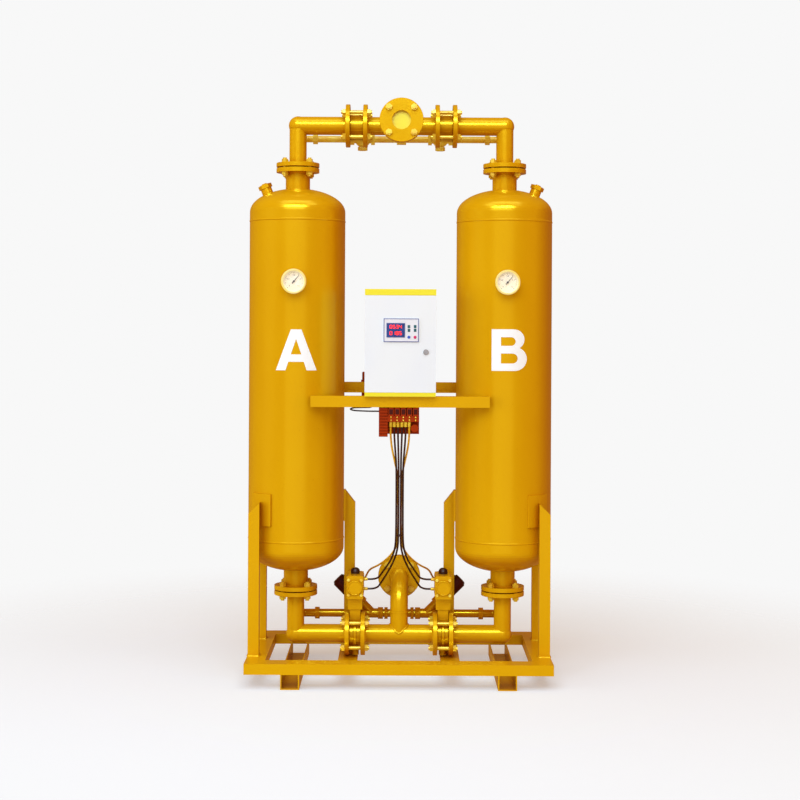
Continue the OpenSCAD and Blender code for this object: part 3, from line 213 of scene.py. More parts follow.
# %% White powder coat and dark castings
def powder(name, body, deep, rough, grain=900.0, gloss=0.4):
    f = Finish(name, IOR=1.47, Specular_IOR_Level=gloss)
    cloud = f.noise(4.0)
    pebble = f.noise(grain, 1.0)
    # Painted shade: faces that look down are blended towards the deeper colour.
    low = (0 - f.facing("Z")).span(0.2, 0.9)
    colour = f.blend(cloud.span(0.35, 0.7) * 0.5 + low * 0.3, shade(body), shade(deep))
    return f.wear(Base_Color=colour, Roughness=rough + 0.12 * cloud, Normal=f.bump(pebble, 0.2, 0.0004))


white_coat = powder("white_coat", "#EEFBFF", "#E7F5FF", 0.32)
dark_cast = powder("dark_cast", "#A63604", "#842602", 0.42, grain=600.0, gloss=0.07)
head_dark = powder("head_dark", "#4C1206", "#300A04", 0.38, grain=600.0, gloss=0.15)
knob_dark = powder("knob_dark", "#3A1408", "#1E0A05", 0.3, grain=700.0)
print("made", white_coat.name, dark_cast.name, head_dark.name, knob_dark.name)

# %% [markdown]
# ## Bare metals
# Studs and small pipes are zinc plated, with a pale yellow passivated tint. Valve discs and screens are plain steel.
# Both have a fine brushed grain. Scratches cut into the mesh would be far too many, so the grain is noise that is
# stretched along one axis.

# %% Plated and brushed metal
def metal(name, body, deep, rough, shine=1.0, stretch=(1, 1, 14)):
    f = Finish(name, IOR=1.6)
    cloud = f.noise(14.0)
    grain = f.noise(120.0, 2.0, stretch)
    colour = f.blend(cloud.span(0.3, 0.7), shade(body), shade(deep))
    return f.wear(Base_Color=colour, Metallic=shine - 0.12 * cloud, Roughness=rough + 0.2 * grain,
                  Normal=f.bump(grain, 0.12, 0.0003))


zinc = metal("zinc_plate", "#F2DC3C", "#E2B61C", 0.22, shine=0.35)
purge_zinc = metal("purge_zinc", "#FFF25A", "#F4CC22", 0.24, shine=0.14)
steel = metal("plain_steel", "#C4C6C8", "#A2A5A8", 0.25)
bronze = metal("sintered_bronze", "#C39A4A", "#94682A", 0.42, shine=0.85, stretch=(1, 1, 1))
gold_rim = metal("gauge_rim", "#FFF6A8", "#FFEE7C", 0.22, shine=0.2)
print("made", zinc.name, purge_zinc.name, steel.name, bronze.name, gold_rim.name)

# %% [markdown]
# ## Plastics, glass and rubber
# Small parts get their own finish: cream dial card, clear gauge glass, tube plastic, gasket rubber. The gauge glass
# could be a true refracting glass, but the dial behind it would go dark, so it is nearly see-through instead.
# The cabinet's mounting plate is one CAD piece with its devices, and its finish tells them apart by place.

# %% Plastics
# painted_glow is a faint emission in the body colour. It is painted light: it brightens parts that are no lamps.
def plastic(name, body, deep, rough, scale=30.0, painted_glow=0.0):
    f = Finish(name, IOR=1.48, Specular_IOR_Level=0.45, Emission_Color=shade(body), Emission_Strength=painted_glow)
    cloud = f.noise(scale)
    colour = f.blend(cloud.span(0.35, 0.68) * 0.7, shade(body), shade(deep))
    return f.wear(Base_Color=colour, Roughness=rough + 0.12 * cloud, Normal=f.bump(cloud, 0.08, 0.0004))


def clear_glass(name):
    f = Finish(name, Roughness=0.03, IOR=1.45, Specular_IOR_Level=0.5)
    smear = f.noise(30.0, 2.0)
    return f.wear(Base_Color=f.blend(smear, shade("#FFFFFF"), shade("#F6FAF8")), Alpha=0.05 + 0.05 * smear)


def lamp(name, code, strength):
    f = Finish(name, Roughness=0.3, Emission_Strength=strength, Emission_Color=shade(code))
    return f.wear(Base_Color=f.blend(f.noise(300.0), shade(code), shade("#200404")))


PLATE_FACE = (0.0658, 0.0664)
TERMINAL_TOP = (1.27, 1.28)
SUPPLY_TOP = (1.37, 1.38)


def fitted_board(name):
    f = Finish(name, IOR=1.48, Specular_IOR_Level=0.4)
    height = f.along("Z")
    cloud = f.noise(40.0)
    proud = (0 - f.along("Y")).span(*PLATE_FACE)
    devices = f.blend(height.span(*SUPPLY_TOP), shade("#E6E2D6"), shade("#45494E"))
    devices = f.blend(height.span(*TERMINAL_TOP), shade("#C9CFC4"), devices)
    plate = f.blend(cloud, shade("#D9DDDA"), shade("#BFC6C4"))
    return f.wear(Base_Color=f.blend(proud, plate, devices), Roughness=0.4 + 0.15 * cloud,
                  Normal=f.bump(cloud, 0.06, 0.0003))


# The dial card glows faintly: painted light.
cream_dial = plastic("cream_dial", "#FFFDEC", "#FBF6D6", 0.5, painted_glow=0.2)
needle_black = plastic("needle_black", "#1A1410", "#0C0806", 0.4)
tube_dark = plastic("tube_dark", "#3C1408", "#240A04", 0.32, scale=60.0)
tube_amber = plastic("tube_amber", "#E8B41A", "#C88A08", 0.28, scale=60.0)
cable_black = plastic("cable_black", "#2A120A", "#180A06", 0.5, scale=80.0)
rubber = plastic("gasket_rubber", "#2B2A29", "#1C1B1A", 0.7)
bead_white = plastic("bead_white", "#F2EFE8", "#DCD7CC", 0.8, scale=200.0)
board_finish = fitted_board("fitted_board")
panel_face = plastic("panel_face", "#EDF5FC", "#E2ECF6", 0.25)
button_blue = plastic("button_blue", "#2E62D8", "#2450B4", 0.25)
button_red = plastic("button_red", "#D8206A", "#B01654", 0.25)
# The letters glow faintly: painted light.
letter_white = plastic("letter_white", "#F2FCFF", "#ECF6FA", 0.35, scale=12.0, painted_glow=0.12)
duct_grey = plastic("duct_grey", "#B8BDC0", "#A6ABAE", 0.45)
print_ink = plastic("print_ink", "#3A3028", "#241C16", 0.6)
outline_blue = plastic("outline_blue", "#4A5CA2", "#3A4C8A", 0.35)
screen_blue = plastic("screen_blue", "#2A4C96", "#1C3674", 0.15)
led_teal = plastic("led_teal", "#2C6A74", "#1C4A52", 0.2)
gauge_glass = clear_glass("gauge_glass")
digit_red = lamp("digit_red", "#FF2A14", 1.6)
print("finishes so far", len(bpy.data.materials))

# %% [markdown]
# ## Dressing the CAD pieces
# A CAD piece whose shape is right only needs its finish. Modelling it again would only bring errors, so its mesh
# stays, and a table names each finish once and lists what wears it.

# %% Finishes onto the CAD pieces
worn = {
    amber: "base_frame tower_a_legs tower_b_legs front_support_beam rear_support_beam vessel_a vessel_b "
           "outlet_spool_a outlet_spool_b outlet_tee outlet_companion_flange inlet_spool_a inlet_spool_b "
           "inlet_tee inlet_companion_flange check_valve_a_body check_valve_b_body butterfly_a_body "
           "butterfly_b_body actuator_a actuator_b fill_caps",
    amber_shaded: "exhaust_pipes exhaust_valves exhaust_tee",
    zinc: "flange_bolts push_in_fittings",
    purge_zinc: "purge_end_pipes purge_bridge purge_check_valves",
    gold_rim: "gauge_cases",
    cream_dial: "gauge_dials",
    gauge_glass: "gauge_glasses",
    needle_black: "gauge_a_needle gauge_b_needle",
    steel: "check_valve_a_flap check_valve_b_flap butterfly_a_disc butterfly_b_disc bed_screens door_lock",
    bronze: "muffler",
    dark_cast: "solenoid_bank pilot_filter",
    head_dark: "exhaust_actuators",
    knob_dark: "position_indicator_a position_indicator_b",
    bead_white: "desiccant_beds",
    rubber: "flange_gaskets",
    strip_yellow: "box_trims port_covers",
    white_coat: "control_box control_door",
    panel_face: "display_panel",
    button_blue: "run_button",
    button_red: "stop_button",
    board_finish: "controller_plate",
    tube_dark: "air_tubes_a air_tubes_b",
    cable_black: "control_cable",
}
for finish, names in worn.items():
    for name in names.split():
        nodes[name].data.materials.clear()
        nodes[name].data.materials.append(finish)
print("dressed", sum(len(names.split()) for names in worn.values()), "of", len(nodes))

# %% [markdown]
# ## Air tubes and control cable
# Each tube is a real length of plastic hose between two push-in fittings. The CAD route, in millimetres, has a few
# corners. A spline through them would swing wide at the tight ones, so a parabola rounds each corner, from the
# middle of the stretch before it to the middle of the stretch after it.

# %% Hoses round the CAD corners
ROUND_STEPS = 3
ROUNDNESS = 4
RIPPLE_TURN = 2.4


def smooth_route(points):
    middles = [(a + b) / 2 for a, b in zip(points, points[1:])]
    made = [points[0]]
    for a, corner, b in zip(middles, points[1:], middles[1:]):
        for k in range(ROUND_STEPS):
            t = k / ROUND_STEPS
            made.append((1 - t) ** 2 * a + 2 * t * (1 - t) * corner + t ** 2 * b)
    return made + [middles[-1], points[-1]]


def add_spline(line, points, closed):
    spline = line.splines.new("POLY")
    spline.points.add(len(points) - 1)
    for spot, p in zip(spline.points, points):
        spot.co = (*p, 1)
    spline.use_cyclic_u = closed
    return spline


# A ripple makes the line thicker and thinner along its way, as a weld bead is.
def round_line(name, points, radius, finish, closed=False, ripple=0.0):
    line = bpy.data.curves.new(name, "CURVE")
    line.dimensions = "3D"
    line.bevel_depth = radius
    line.bevel_resolution = ROUNDNESS
    line.use_fill_caps = not closed
    for k, spot in enumerate(add_spline(line, points, closed).points):
        spot.radius = 1 + ripple * math.sin(RIPPLE_TURN * k)
    piece = into_scene(name, line)
    line.materials.append(finish)
    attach(piece, "dryer")
    return piece


def hose(name, route, width, finish, node):
    points = smooth_route([Vector(p) / 1000 for p in route])
    length = sum((b - a).length for a, b in zip(points, points[1:]))
    piece = round_line(name, points, width / 2, finish)
    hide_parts(node)
    print(name, round(length, 3), "m")


print("each corner is rounded in", ROUND_STEPS, "steps")

# %% Routes of the tubes and the cable
TUBE_WIDTH, CABLE_WIDTH = 0.008, 0.006
tube_routes = [
    (tube_dark, [
        (-23, -212, 1040), (-23, -212, 1005), (-19, -212, 950), (-14, -212, 890), (-13.5, -212, 800),
        (-13.5, -212, 600), (-17, -204, 545), (-33, -176, 495), (-60, -118, 448), (-81.9, -43.7, 406),
        (-91.1, -25.7, 396), (-109.9, -15, 390), (-132.5, -15, 390)]),
    (tube_dark, [
        (-8, -212, 1040), (-8, -212, 1005), (-6, -214, 950), (-4.6, -217, 880), (-4.6, -217, 740),
        (-4.6, -217, 600), (-6, -208, 548), (-20, -178, 495), (-48, -112, 432), (-81.1, -12.3, 367.5),
        (-89.5, 4.7, 353.5), (-108.9, 15, 345), (-132.5, 15, 345)]),
    (tube_amber, [
        (-38, -212, 1040), (-38, -212, 1008), (-34, -205, 960), (-22, -198, 905), (-6, -200, 835),
        (-4.6, -207, 600), (-12, -186, 548), (-40, -128, 500), (-85, -40, 452), (-126, 70, 420),
        (-142.2, 151.9, 377.2), (-147, 169.7, 367.6), (-158.2, 180, 353.6), (-172.9, 180, 338.9)]),
]
for side, node in ((1, "air_tubes_a"), (-1, "air_tubes_b")):
    for number, (finish, route) in enumerate(tube_routes, 1):
        mirrored = [(side * x, y, z) for x, y, z in route]
        hose(f"hose_{node[-1]}{number}", mirrored, TUBE_WIDTH, finish, node)
cable_route = [
    (-100, -150, 1152), (-100, -150, 1137.2), (-107.3, -150.9, 1124.3), (-120, -152.6, 1116.7),
    (-134.7, -154.5, 1116.4), (-170.4, -159.1, 1115.9), (-187.1, -161.3, 1115.5), (-199.6, -172.5, 1113.5),
    (-203.5, -188.8, 1111), (-197.5, -204.5, 1108.5), (-183.7, -214, 1106.5), (-166.9, -214, 1105.5),
    (-126, -212.5, 1104), (-106, -212, 1104), (-86, -212, 1104),
]
hose("signal_cable", cable_route, CABLE_WIDTH, cable_black, "control_cable")

# %% [markdown]
# ## Making a piece from a bmesh
# Every new piece is built in one bmesh and ends the same way: doubles merged, normals outwards, mesh at its real
# place, finish on. Two shapes come back again and again, a block with soft edges and a turned profile.

# %% Finishing a bmesh
def deliver(name, bm, finish, body, smooth=False):
    bmesh.ops.remove_doubles(bm, verts=bm.verts, dist=1e-6)
    bmesh.ops.recalc_face_normals(bm, faces=bm.faces)
    mesh = bpy.data.meshes.new(name)
    bm.to_mesh(mesh)
    bm.free()
    mesh.polygons.foreach_set("use_smooth", [smooth] * len(mesh.polygons))
    piece = into_scene(name, mesh)
    mesh.materials.append(finish)
    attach(piece, body)
    print(name, len(mesh.polygons), "faces")


def block(bm, low, high, bevel=0.0):
    low, high = Vector(low), Vector(high)
    made = bmesh.ops.create_cube(bm, size=1)["verts"]
    bmesh.ops.scale(bm, vec=high - low, verts=made)
    bmesh.ops.translate(bm, vec=(low + high) / 2, verts=made)
    if bevel:
        edges = list({e for v in made for e in v.link_edges})
        bmesh.ops.bevel(bm, geom=edges, offset=bevel, segments=2, profile=0.5, affect="EDGES", material=-1)
    return made


# The profile is a list of radius and height, spun about the axis at the centre.
def spun(bm, profile, axis, centre, steps):
    side = Vector((0, 0, 1)).rotation_difference(Vector(axis)).to_matrix()
    spots = [bm.verts.new(Vector(centre) + side @ Vector((r, 0, h))) for r, h in profile]
    edges = [bm.edges.new(pair) for pair in zip(spots, spots[1:])]
    bmesh.ops.spin(bm, geom=spots + edges, cent=centre, axis=axis, angle=2 * math.pi, steps=steps, use_merge=True)


# A flat curve or a text is shown for a moment, because only then does Blender fill it.
def filled(name, data):
    holder = into_scene(name, data)
    bpy.context.view_layer.update()
    bm = bmesh.new()
    bm.from_mesh(holder.to_mesh())
    holder.to_mesh_clear()
    bpy.data.objects.remove(holder)
    return bm


print("helpers ready")

# %% [markdown]
# ## Tower letters
# The towers carry large painted letters, A and B, so that a fitter can tell which one is on line. A letter could be
# cut out of the shell's own mesh, but that would touch the CAD piece. Each letter is a flat outline instead, filled,
# sliced into narrow strips and laid onto the round shell as a thin coat.

# %% Outlines of the letters
BOWL_STEPS = 14
LOWER_END, UPPER_START = 67.9, -57.2


# Half of an upright oval, or the part of it between two angles. The two bowls of the B stop where they meet.
def bowl(cx, cy, rx, ry, start=-90.0, end=90.0):
    angles = [math.radians(start + (end - start) * k / BOWL_STEPS) for k in range(BOWL_STEPS + 1)]
    return [(cx + rx * math.cos(a), cy + ry * math.sin(a)) for a in angles]


letter_a = [
    [(0, 0), (0.37, 1), (0.63, 1), (1, 0), (0.76, 0), (0.69, 0.21), (0.31, 0.21), (0.24, 0)],
    [(0.37, 0.39), (0.5, 0.77), (0.63, 0.39)],
]
letter_b = [
    [(0, 0), *bowl(0.66, 0.285, 0.34, 0.285, end=LOWER_END),
     *bowl(0.62, 0.755, 0.31, 0.245, start=UPPER_START), (0, 1)],
    [(0.26, 0.178), *bowl(0.585, 0.298, 0.15, 0.12), (0.26, 0.418)],
    [(0.26, 0.602), *bowl(0.55, 0.706, 0.125, 0.104), (0.26, 0.81)],
]
print("letter A has", len(letter_a), "outlines and letter B", len(letter_b))

# %% Painted letters
TOWER_X = 0.434
SHELL = 0.2
COAT_TOP = 0.0009
COAT = 0.0007
STRIPS = 30


def painted_letter(name, loops, left, right, low, high, tower):
    line = bpy.data.curves.new(name, "CURVE")
    line.dimensions = "2D"
    line.fill_mode = "BOTH"
    for loop in loops:
        add_spline(line, [(x, y, 0) for x, y in loop], True)
    bm = filled(name, line)
    bmesh.ops.scale(bm, vec=(right - left, high - low, 1), verts=bm.verts)
    bmesh.ops.translate(bm, vec=(left, low, 0), verts=bm.verts)
    for k in range(1, STRIPS):
        cut = left + (right - left) * k / STRIPS
        everything = bm.verts[:] + bm.edges[:] + bm.faces[:]
        bmesh.ops.bisect_plane(bm, geom=everything, plane_co=(cut, 0, 0), plane_no=(1, 0, 0))
    for v in bm.verts:
        x, z = v.co.x, v.co.y
        v.co = (x, -math.sqrt((SHELL + COAT_TOP) ** 2 - (x - tower) ** 2), z)
    raised = bmesh.ops.extrude_face_region(bm, geom=bm.faces[:], use_keep_orig=True)["geom"]
    coat = [v for v in raised if isinstance(v, bmesh.types.BMVert)]
    bmesh.ops.translate(bm, vec=(0, COAT, 0), verts=coat)
    deliver(name, bm, letter_white, "dryer")


painted_letter("letter_a", letter_a, -0.508, -0.342, 1.268, 1.435, -TOWER_X)
painted_letter("letter_b", letter_b, 0.3722, 0.5165, 1.2704, 1.44, TOWER_X)

# %% [markdown]
# ## Gauge dials
# A pressure gauge has a printed scale: a ring of ticks, longer at each fifth, and a few numbers. A picture of a dial
# would be quicker, but it blurs close up. The ticks are thin blocks turned about the dial's centre, and the numbers
# are text made into meshes.

# %% Numbers as meshes
NUMBER_SIZE = 0.0085
NUMBER_CURVE_STEPS = 2
INK_THICK = 0.00008
UPRIGHT = Matrix.Rotation(math.pi / 2, 3, "X")


def printed_number(name, text, centre):
    font = bpy.data.curves.new(name, "FONT")
    font.body = text
    font.size = NUMBER_SIZE
    font.align_x = "CENTER"
    font.align_y = "CENTER"
    font.resolution_u = NUMBER_CURVE_STEPS
    font.extrude = INK_THICK
    bm = filled(name, font)
    bmesh.ops.rotate(bm, cent=(0, 0, 0), matrix=UPRIGHT, verts=bm.verts)
    bmesh.ops.translate(bm, vec=centre, verts=bm.verts)
    deliver(name, bm, print_ink, "dryer")


print("numbers are", NUMBER_SIZE * 1000, "mm high")

# %% Printed scales
GAUGE_Z, DIAL_Y = 1.63, -0.2213
SCALE_START, SCALE_SWEEP = 225, 270
TICKS = 40
TICK_RING, NUMBER_RING = 0.0385, 0.0255
LONG_TICK, SHORT_TICK = (0.0065, 0.0006), (0.0038, 0.0003)
INK_HALF = 0.0001
NUMBERS = ("0", "0.4", "0.8", "1.2", "1.6")


def scale_angle(step, steps):
    return math.radians(SCALE_START - SCALE_SWEEP * step / steps)


for side, mark in ((-1, "a"), (1, "b")):
    bm = bmesh.new()
    hub = Vector((side * TOWER_X, DIAL_Y, GAUGE_Z))
    for k in range(TICKS + 1):
        long, thick = LONG_TICK if k % 5 == 0 else SHORT_TICK
        tick = block(bm, (TICK_RING - long, -INK_HALF, -thick), (TICK_RING, INK_HALF, thick))
        turn = Matrix.Rotation(-scale_angle(k, TICKS), 3, "Y")
        bmesh.ops.rotate(bm, cent=(0, 0, 0), matrix=turn, verts=tick)
        bmesh.ops.translate(bm, vec=hub, verts=tick)
    deliver(f"scale_{mark}", bm, print_ink, "dryer")
    for k, text in enumerate(NUMBERS):
        angle = scale_angle(k, len(NUMBERS) - 1)
        spot = hub + Vector((NUMBER_RING * math.cos(angle), 0, NUMBER_RING * math.sin(angle)))
        printed_number(f"number_{mark}{k}", text, spot)

# %% [markdown]
# ## Cabinet display
# The timer's window is a small blue screen in a raised frame, and a thin line goes round the whole panel. They could
# be colours on one face, but then they would have no edges to catch light. Low blocks on the panel's face give
# those edges, and they ride on the door.

# %% Screen and frames
FACE_Y = -0.26465
SCREEN = (-0.0535, 1.4075, 0.0152, 1.4602)
SCREEN_FRAME = (-0.0565, 1.4047, 0.0182, 1.463)
PANEL_INSIDE = (-0.0652, 1.3893, 0.0712, 1.4787)
PANEL_LINE = (-0.068, 1.3865, 0.074, 1.4815)


def on_panel(bm, x0, z0, x1, z1, proud, bevel=0.0):
    block(bm, (x0, FACE_Y - proud, z0), (x1, FACE_Y, z1), bevel)


def border(name, inside, outside, proud, bevel=0.0):
    left, low, right, high = outside
    in_left, in_low, in_right, in_high = inside
    bm = bmesh.new()
    on_panel(bm, left, in_high, right, high, proud, bevel)
    on_panel(bm, left, low, right, in_low, proud, bevel)
    on_panel(bm, left, in_low, in_left, in_high, proud, bevel)
    on_panel(bm, in_right, in_low, right, in_high, proud, bevel)
    deliver(name, bm, outline_blue, "door")


bm = bmesh.new()
on_panel(bm, *SCREEN, proud=0.0012, bevel=0.0008)
deliver("screen", bm, screen_blue, "door")
border("screen_frame", SCREEN, SCREEN_FRAME, proud=0.002, bevel=0.0006)
border("panel_outline", PANEL_INSIDE, PANEL_LINE, proud=0.0008)

# %% [markdown]
# ## Figures and lamps
# The two rows of red figures are made of seven bars each, as on a real display. Text would have round corners;
# bars that are switched on by a letter code give the true look with one block each. Four lamps stand beside them.

# %% Seven-bar figures and lamps
BARS = {"a": (0, 1, True), "b": (1, 0.5, False), "c": (1, -0.5, False), "d": (0, -1, True),
        "e": (-1, -0.5, False), "f": (-1, 0.5, False), "g": (0, 0, True)}
LIT = {"0": "abcdef", "1": "bc", "3": "abcdg", "4": "bcfg", "5": "acdfg", "8": "abcdefg"}
FLAT_HALF, TALL_HALF = Vector((0.0036, 0.0003, 0.0014)), Vector((0.0014, 0.0003, 0.003))
BAR_X, BAR_Z = 0.0042, 0.0064
FIRST_FIGURE = (-0.0385, 1.4478)
COLUMN_STEP, ROW_STEP = 0.0128, 0.0258
FIGURE_PROUD = 0.0015
LAMP_X, LAMP_Z = (0.034, 0.059), (1.434, 1.449)
LAMP_WIDE, LAMP_HIGH = 0.0052, 0.0062

bm = bmesh.new()
for row, text in enumerate(("0534", "0185")):
    for column, figure in enumerate(text):
        x, z = FIRST_FIGURE[0] + COLUMN_STEP * column, FIRST_FIGURE[1] - ROW_STEP * row
        centre = Vector((x, FACE_Y - FIGURE_PROUD, z))
        for bar in LIT[figure]:
            across, up, flat = BARS[bar]
            half = FLAT_HALF if flat else TALL_HALF
            middle = centre + Vector((across * BAR_X, 0, up * BAR_Z))
            block(bm, middle - half, middle + half)
deliver("figures", bm, digit_red, "door")
bm = bmesh.new()
for x in LAMP_X:
    for z in LAMP_Z:
        on_panel(bm, x - LAMP_WIDE, z - LAMP_HIGH, x + LAMP_WIDE, z + LAMP_HIGH, proud=0.0014, bevel=0.0008)
deliver("lamps", bm, led_teal, "door")

# %% [markdown]
# ## Cable ties
# The bundle of tubes is held with two narrow plastic ties. A tie is a thin ring spun about the bundle, with a small
# block for its head.

# %% Cable ties
TIE_HEIGHTS = (0.84, 0.6)
BUNDLE_Y = -0.211
TIE_RING = [(0.0148, -0.0022), (0.0162, -0.0022), (0.0162, 0.0022), (0.0148, 0.0022), (0.0148, -0.0022)]

bm = bmesh.new()
for z in TIE_HEIGHTS:
    spun(bm, TIE_RING, (0, 0, 1), (0, BUNDLE_Y, z), steps=28)
    block(bm, (-0.004, -0.231, z - 0.003), (0.003, -0.2265, z + 0.003), bevel=0.0008)
deliver("tube_ties", bm, tube_dark, "dryer")

# %% [markdown]
# ## Valve block
# Each of the five pilot valves has a label plate and two screws on its face. The screws are turned parts, so one
# profile is spun for each.

# %% Valve block details
VALVE_SPOTS = [-0.0365 + 0.025 * k for k in range(5)]
VALVE_SCREW = [(0.0032, 0), (0.0032, 0.0012), (0.0024, 0.002), (0, 0.002)]
VALVE_FACE_Y = -0.2239
LABEL_HALF = 0.0075

bm = bmesh.new()
for x in VALVE_SPOTS:
    block(bm, (x - LABEL_HALF, -0.2268, 1.092), (x + LABEL_HALF, -0.2255, 1.113), bevel=0.0005)
deliver("valve_labels", bm, head_dark, "dryer")
bm = bmesh.new()
for x in VALVE_SPOTS:
    for z in (1.068, 1.08):
        spun(bm, VALVE_SCREW, (0, -1, 0), (x, VALVE_FACE_Y, z), steps=16)
deliver("valve_screws", bm, zinc, "dryer", smooth=True)

# %% [markdown]
# ## Actuator covers
# A pneumatic actuator is closed at both ends by a cover with four hexagon screws and a raised round rim. A profile
# spun in six steps is a hexagon head, and in forty steps a smooth rim.

# %% Actuator screws and cover rims
HEX_HEAD = [(0.0068, 0), (0.0068, 0.0038), (0.0056, 0.005), (0, 0.005)]
RIM = [(0.0305, 0), (0.0305, 0.0016), (0.0295, 0.0022), (0.0272, 0.0022), (0.0262, 0.0016), (0.0262, 0),
       (0.0305, 0)]
SCREW_Y, RIM_Y = 0.071, 0.08
ACTUATOR_X, ACTUATOR_Z = 0.184, 0.363

bm = bmesh.new()
for end in (-1, 1):
    for x in (-0.2105, -0.1575, 0.1575, 0.2105):
        for z in (0.3316, 0.3944):
            spun(bm, HEX_HEAD, (0, end, 0), (x, SCREW_Y * end, z), steps=6)
deliver("actuator_screws", bm, purge_zinc, "dryer")
bm = bmesh.new()
for end in (-1, 1):
    for x in (-ACTUATOR_X, ACTUATOR_X):
        spun(bm, RIM, (0, end, 0), (x, RIM_Y * end, ACTUATOR_Z), steps=40)
deliver("cover_rims", bm, amber, "dryer", smooth=True)

# %% [markdown]
# ## Inside the cabinet
# Open the door and there is a mounting plate with a timer, a power supply and a row of terminals. The CAD piece has
# their bodies. A timer face, a slotted duct and screws are enough to tell what each block is for.

# %% Timer face, duct and terminal screws
TIMER_Y = -0.1136
TIMER_KEYS, KEY_STEP = 5, 0.025
DUCT_FINGERS, FINGER_STEP = 20, 0.0107
TERMINAL_Y = -0.1016
TERMINAL_SPOTS = [0.016 * k - 0.089 for k in range(12)]
TERMINAL_SCREW = [(0.0042, 0), (0.0042, 0.0008), (0.0034, 0.0014), (0, 0.0014)]

bm = bmesh.new()
block(bm, (-0.076, -0.1148, 1.452), (0.046, TIMER_Y, 1.494), bevel=0.0004)
for k in range(TIMER_KEYS):
    shift = KEY_STEP * k
    block(bm, (-0.072 + shift, -0.1158, 1.412), (-0.058 + shift, TIMER_Y, 1.428), bevel=0.0006)
deliver("timer_face", bm, screen_blue, "dryer")
bm = bmesh.new()
block(bm, (-0.105, -0.088, 1.368), (0.108, -0.0656, 1.39), bevel=0.0006)
block(bm, (-0.106, -0.091, 1.367), (0.109, -0.088, 1.391), bevel=0.0008)
for k in range(DUCT_FINGERS):
    shift = FINGER_STEP * k
    block(bm, (-0.102 + shift, -0.087, 1.3655), (-0.0975 + shift, -0.067, 1.3682))
deliver("wire_duct", bm, duct_grey, "dryer")
bm = bmesh.new()
for x in TERMINAL_SPOTS:
    for z in (1.232, 1.256):
        spun(bm, TERMINAL_SCREW, (0, -1, 0), (x, TERMINAL_Y, z), steps=16)
deliver("terminal_screws", bm, steel, "dryer", smooth=True)

# %% [markdown]
# ## Wires
# A short wire leaves each terminal. The first five end in the power supply and the rest in the duct. They are
# round lines like the hoses, in four colours by turns.

# %% Wires from the terminals
WIRE_RADIUS = 0.0012
WIRE_LOW, SUPPLY_END, DUCT_END = 1.264, 1.287, 1.3685
TO_SUPPLY = 5
wire_colours = (cable_black, button_blue, button_red, tube_amber)
for k, x in enumerate(TERMINAL_SPOTS):
    end = SUPPLY_END if k < TO_SUPPLY else DUCT_END
    corners = ((-0.083, WIRE_LOW), (-0.083, 1.271), (-0.0815, end - 0.006), (-0.0815, end))
    run = smooth_route([Vector((x, y, z)) for y, z in corners])
    round_line(f"wire_{k}", run, WIRE_RADIUS, wire_colours[k % len(wire_colours)])
print(len(TERMINAL_SPOTS), "wires")

# %% [markdown]
# ## Weld at the inlet tee
# A branch that is as wide as its run meets it along a saddle. The weld runs round that saddle, so its points
# come from the two cylinders, and a closed round line follows them with a ripple for the bead.

# %% Saddle weld
BRANCH, RUN, TEE_Z = 0.0373, 0.038, 0.16
SADDLE_STEPS = 96
SADDLE_BEAD = 0.0046
saddle = []
for k in range(SADDLE_STEPS):
    angle = 2 * math.pi * k / SADDLE_STEPS
    x, y = BRANCH * math.cos(angle), BRANCH * math.sin(angle)
    saddle.append((x, y, TEE_Z + math.sqrt(RUN ** 2 - y ** 2)))
round_line("saddle_weld", saddle, SADDLE_BEAD, amber, closed=True, ripple=0.2)
print("weld of", len(saddle), "steps")

# %% [markdown]
# ## Welds at the feet
# Each tube leg stands on the skid in a square weld bead. It is the same closed line, led round the four sides of
# the leg in short steps so that the bead can ripple.

# %% Welds at the feet of the legs
LEG, FOOT_Z = 0.045, 0.103
SIDE_STEPS = 12
FOOT_BEAD = 0.0042
FEET = ((0.594, -0.17657), (0.594, 0.17657), (0.212, 0.118))
CORNERS = ((-1, -1), (1, -1), (1, 1), (-1, 1), (-1, -1))


def round_the_leg(x, y):
    made = []
    for a, b in zip(CORNERS, CORNERS[1:]):
        for k in range(SIDE_STEPS):
            across, along = (p + (q - p) * k / SIDE_STEPS for p, q in zip(a, b))
            made.append((x + LEG / 2 * across, y + LEG / 2 * along, FOOT_Z))
    return made


for side, mark in ((-1, "a"), (1, "b")):
    for number, (x, y) in enumerate(FEET):
        bead = round_the_leg(side * x, y)
        round_line(f"foot_weld_{mark}{number}", bead, FOOT_BEAD, amber, closed=True, ripple=0.25)
print("welded", 2 * len(FEET), "feet")

# %% [markdown]
# ## Floor
# The dryer stands on a pale floor that fades into a white surround. A large plane would show its edge, so a disc
# turns see-through towards its rim. It is kept out of the gloss, or its white would bleach the pipes from below.

# %% Floor
FLOOR_RADIUS = 6
FADE = (0.7, 3.2)
bm = bmesh.new()
bmesh.ops.create_circle(bm, cap_ends=True, radius=FLOOR_RADIUS, segments=96)
mesh = bpy.data.meshes.new("floor")
bm.to_mesh(mesh)
bm.free()
floor = into_scene("floor", mesh)
floor.visible_glossy = False
f = Finish("floor_pale", Roughness=0.9, Base_Color=shade("#CCDCE8"), Emission_Color=(1, 1, 1, 1),
           Emission_Strength=0.36)
reach = f.node("ShaderNodeVectorMath", {"operation": "LENGTH"}, {0: f.place()}, "Value")
mesh.materials.append(f.wear(Alpha=1 - reach.span(*FADE)))
print("floor fades from", FADE[0], "to", FADE[1], "m")

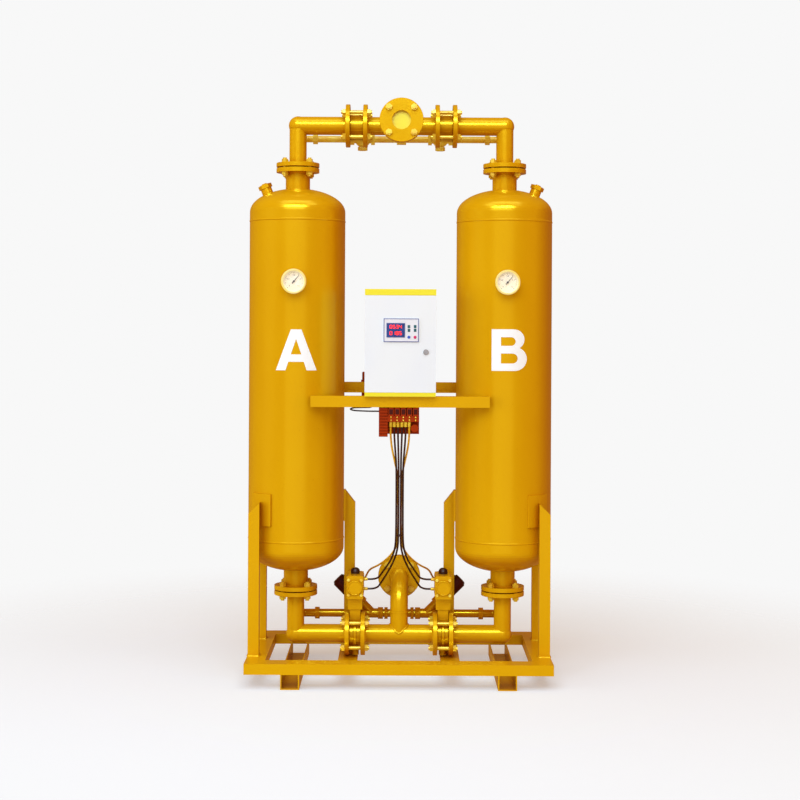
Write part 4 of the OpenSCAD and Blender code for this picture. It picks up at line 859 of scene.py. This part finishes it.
# %% [markdown]
# ## Studio light
# A broad key light stands high in front, a little to the left. A narrow strip above it is seen only in the gloss
# and draws the bright lines on domes and pipes. A low front light and two side lights fill the shadows; the side
# lights are left out of the gloss, because they would draw stripes on the towers. The surround is white to the
# camera and warm as light, which gives the enamel its amber shadows.

# %% Softboxes
def softbox(name, place, aim_height, size, power, colour, rays="both"):
    light = bpy.data.lights.new(name, "AREA")
    light.shape = "RECTANGLE"
    light.size, light.size_y = size
    light.energy = power
    light.color = colour
    box = into_scene(name, light)
    box.location = place
    box.visible_diffuse = rays != "gloss"
    box.visible_glossy = rays != "matt"
    towards = Vector((0, 0, aim_height)) - Vector(place)
    box.rotation_euler = towards.to_track_quat("-Z", "Y").to_euler()


DAYLIGHT = (0.845, 1.0, 1.165)
WARM = (1.0, 0.55, 0.25)
softbox("key", (-0.8, -6.7, 5.8), 1.2, (7.0, 5.0), 340, DAYLIGHT)
softbox("strip", (-0.5, -8.0, 6.9), 1.0, (8.0, 1.3), 820, DAYLIGHT, "gloss")
softbox("top", (0, -1.9, 6.5), 1.8, (6.0, 1.8), 85, DAYLIGHT)
softbox("front", (-0.4, -9.0, 0.8), 1.0, (8.0, 4.0), 46, DAYLIGHT)
softbox("left", (-6.6, -3.0, 2.0), 1.2, (4.0, 4.0), 175, DAYLIGHT, "matt")
softbox("right", (6.5, -2.5, 2.2), 1.2, (3.0, 3.0), 60, WARM, "matt")
print("softboxes", len(bpy.data.lights))

# %% Surround
AMBER_SHADE = (0.42, 0.19, 0.05, 1)
world = bpy.data.worlds.new("surround")
bpy.context.scene.world = world
world.use_nodes = True
tree = world.node_tree
seen = tree.nodes.new("ShaderNodeLightPath")
mix = tree.nodes.new("ShaderNodeMix")
mix.data_type = "RGBA"
mix.inputs[6].default_value = AMBER_SHADE
mix.inputs[7].default_value = shade("#F8F8F8")
tree.links.new(seen.outputs["Is Camera Ray"], mix.inputs[0])
tree.links.new(mix.outputs[2], tree.nodes["Background"].inputs["Color"])
print("surround", world.name)
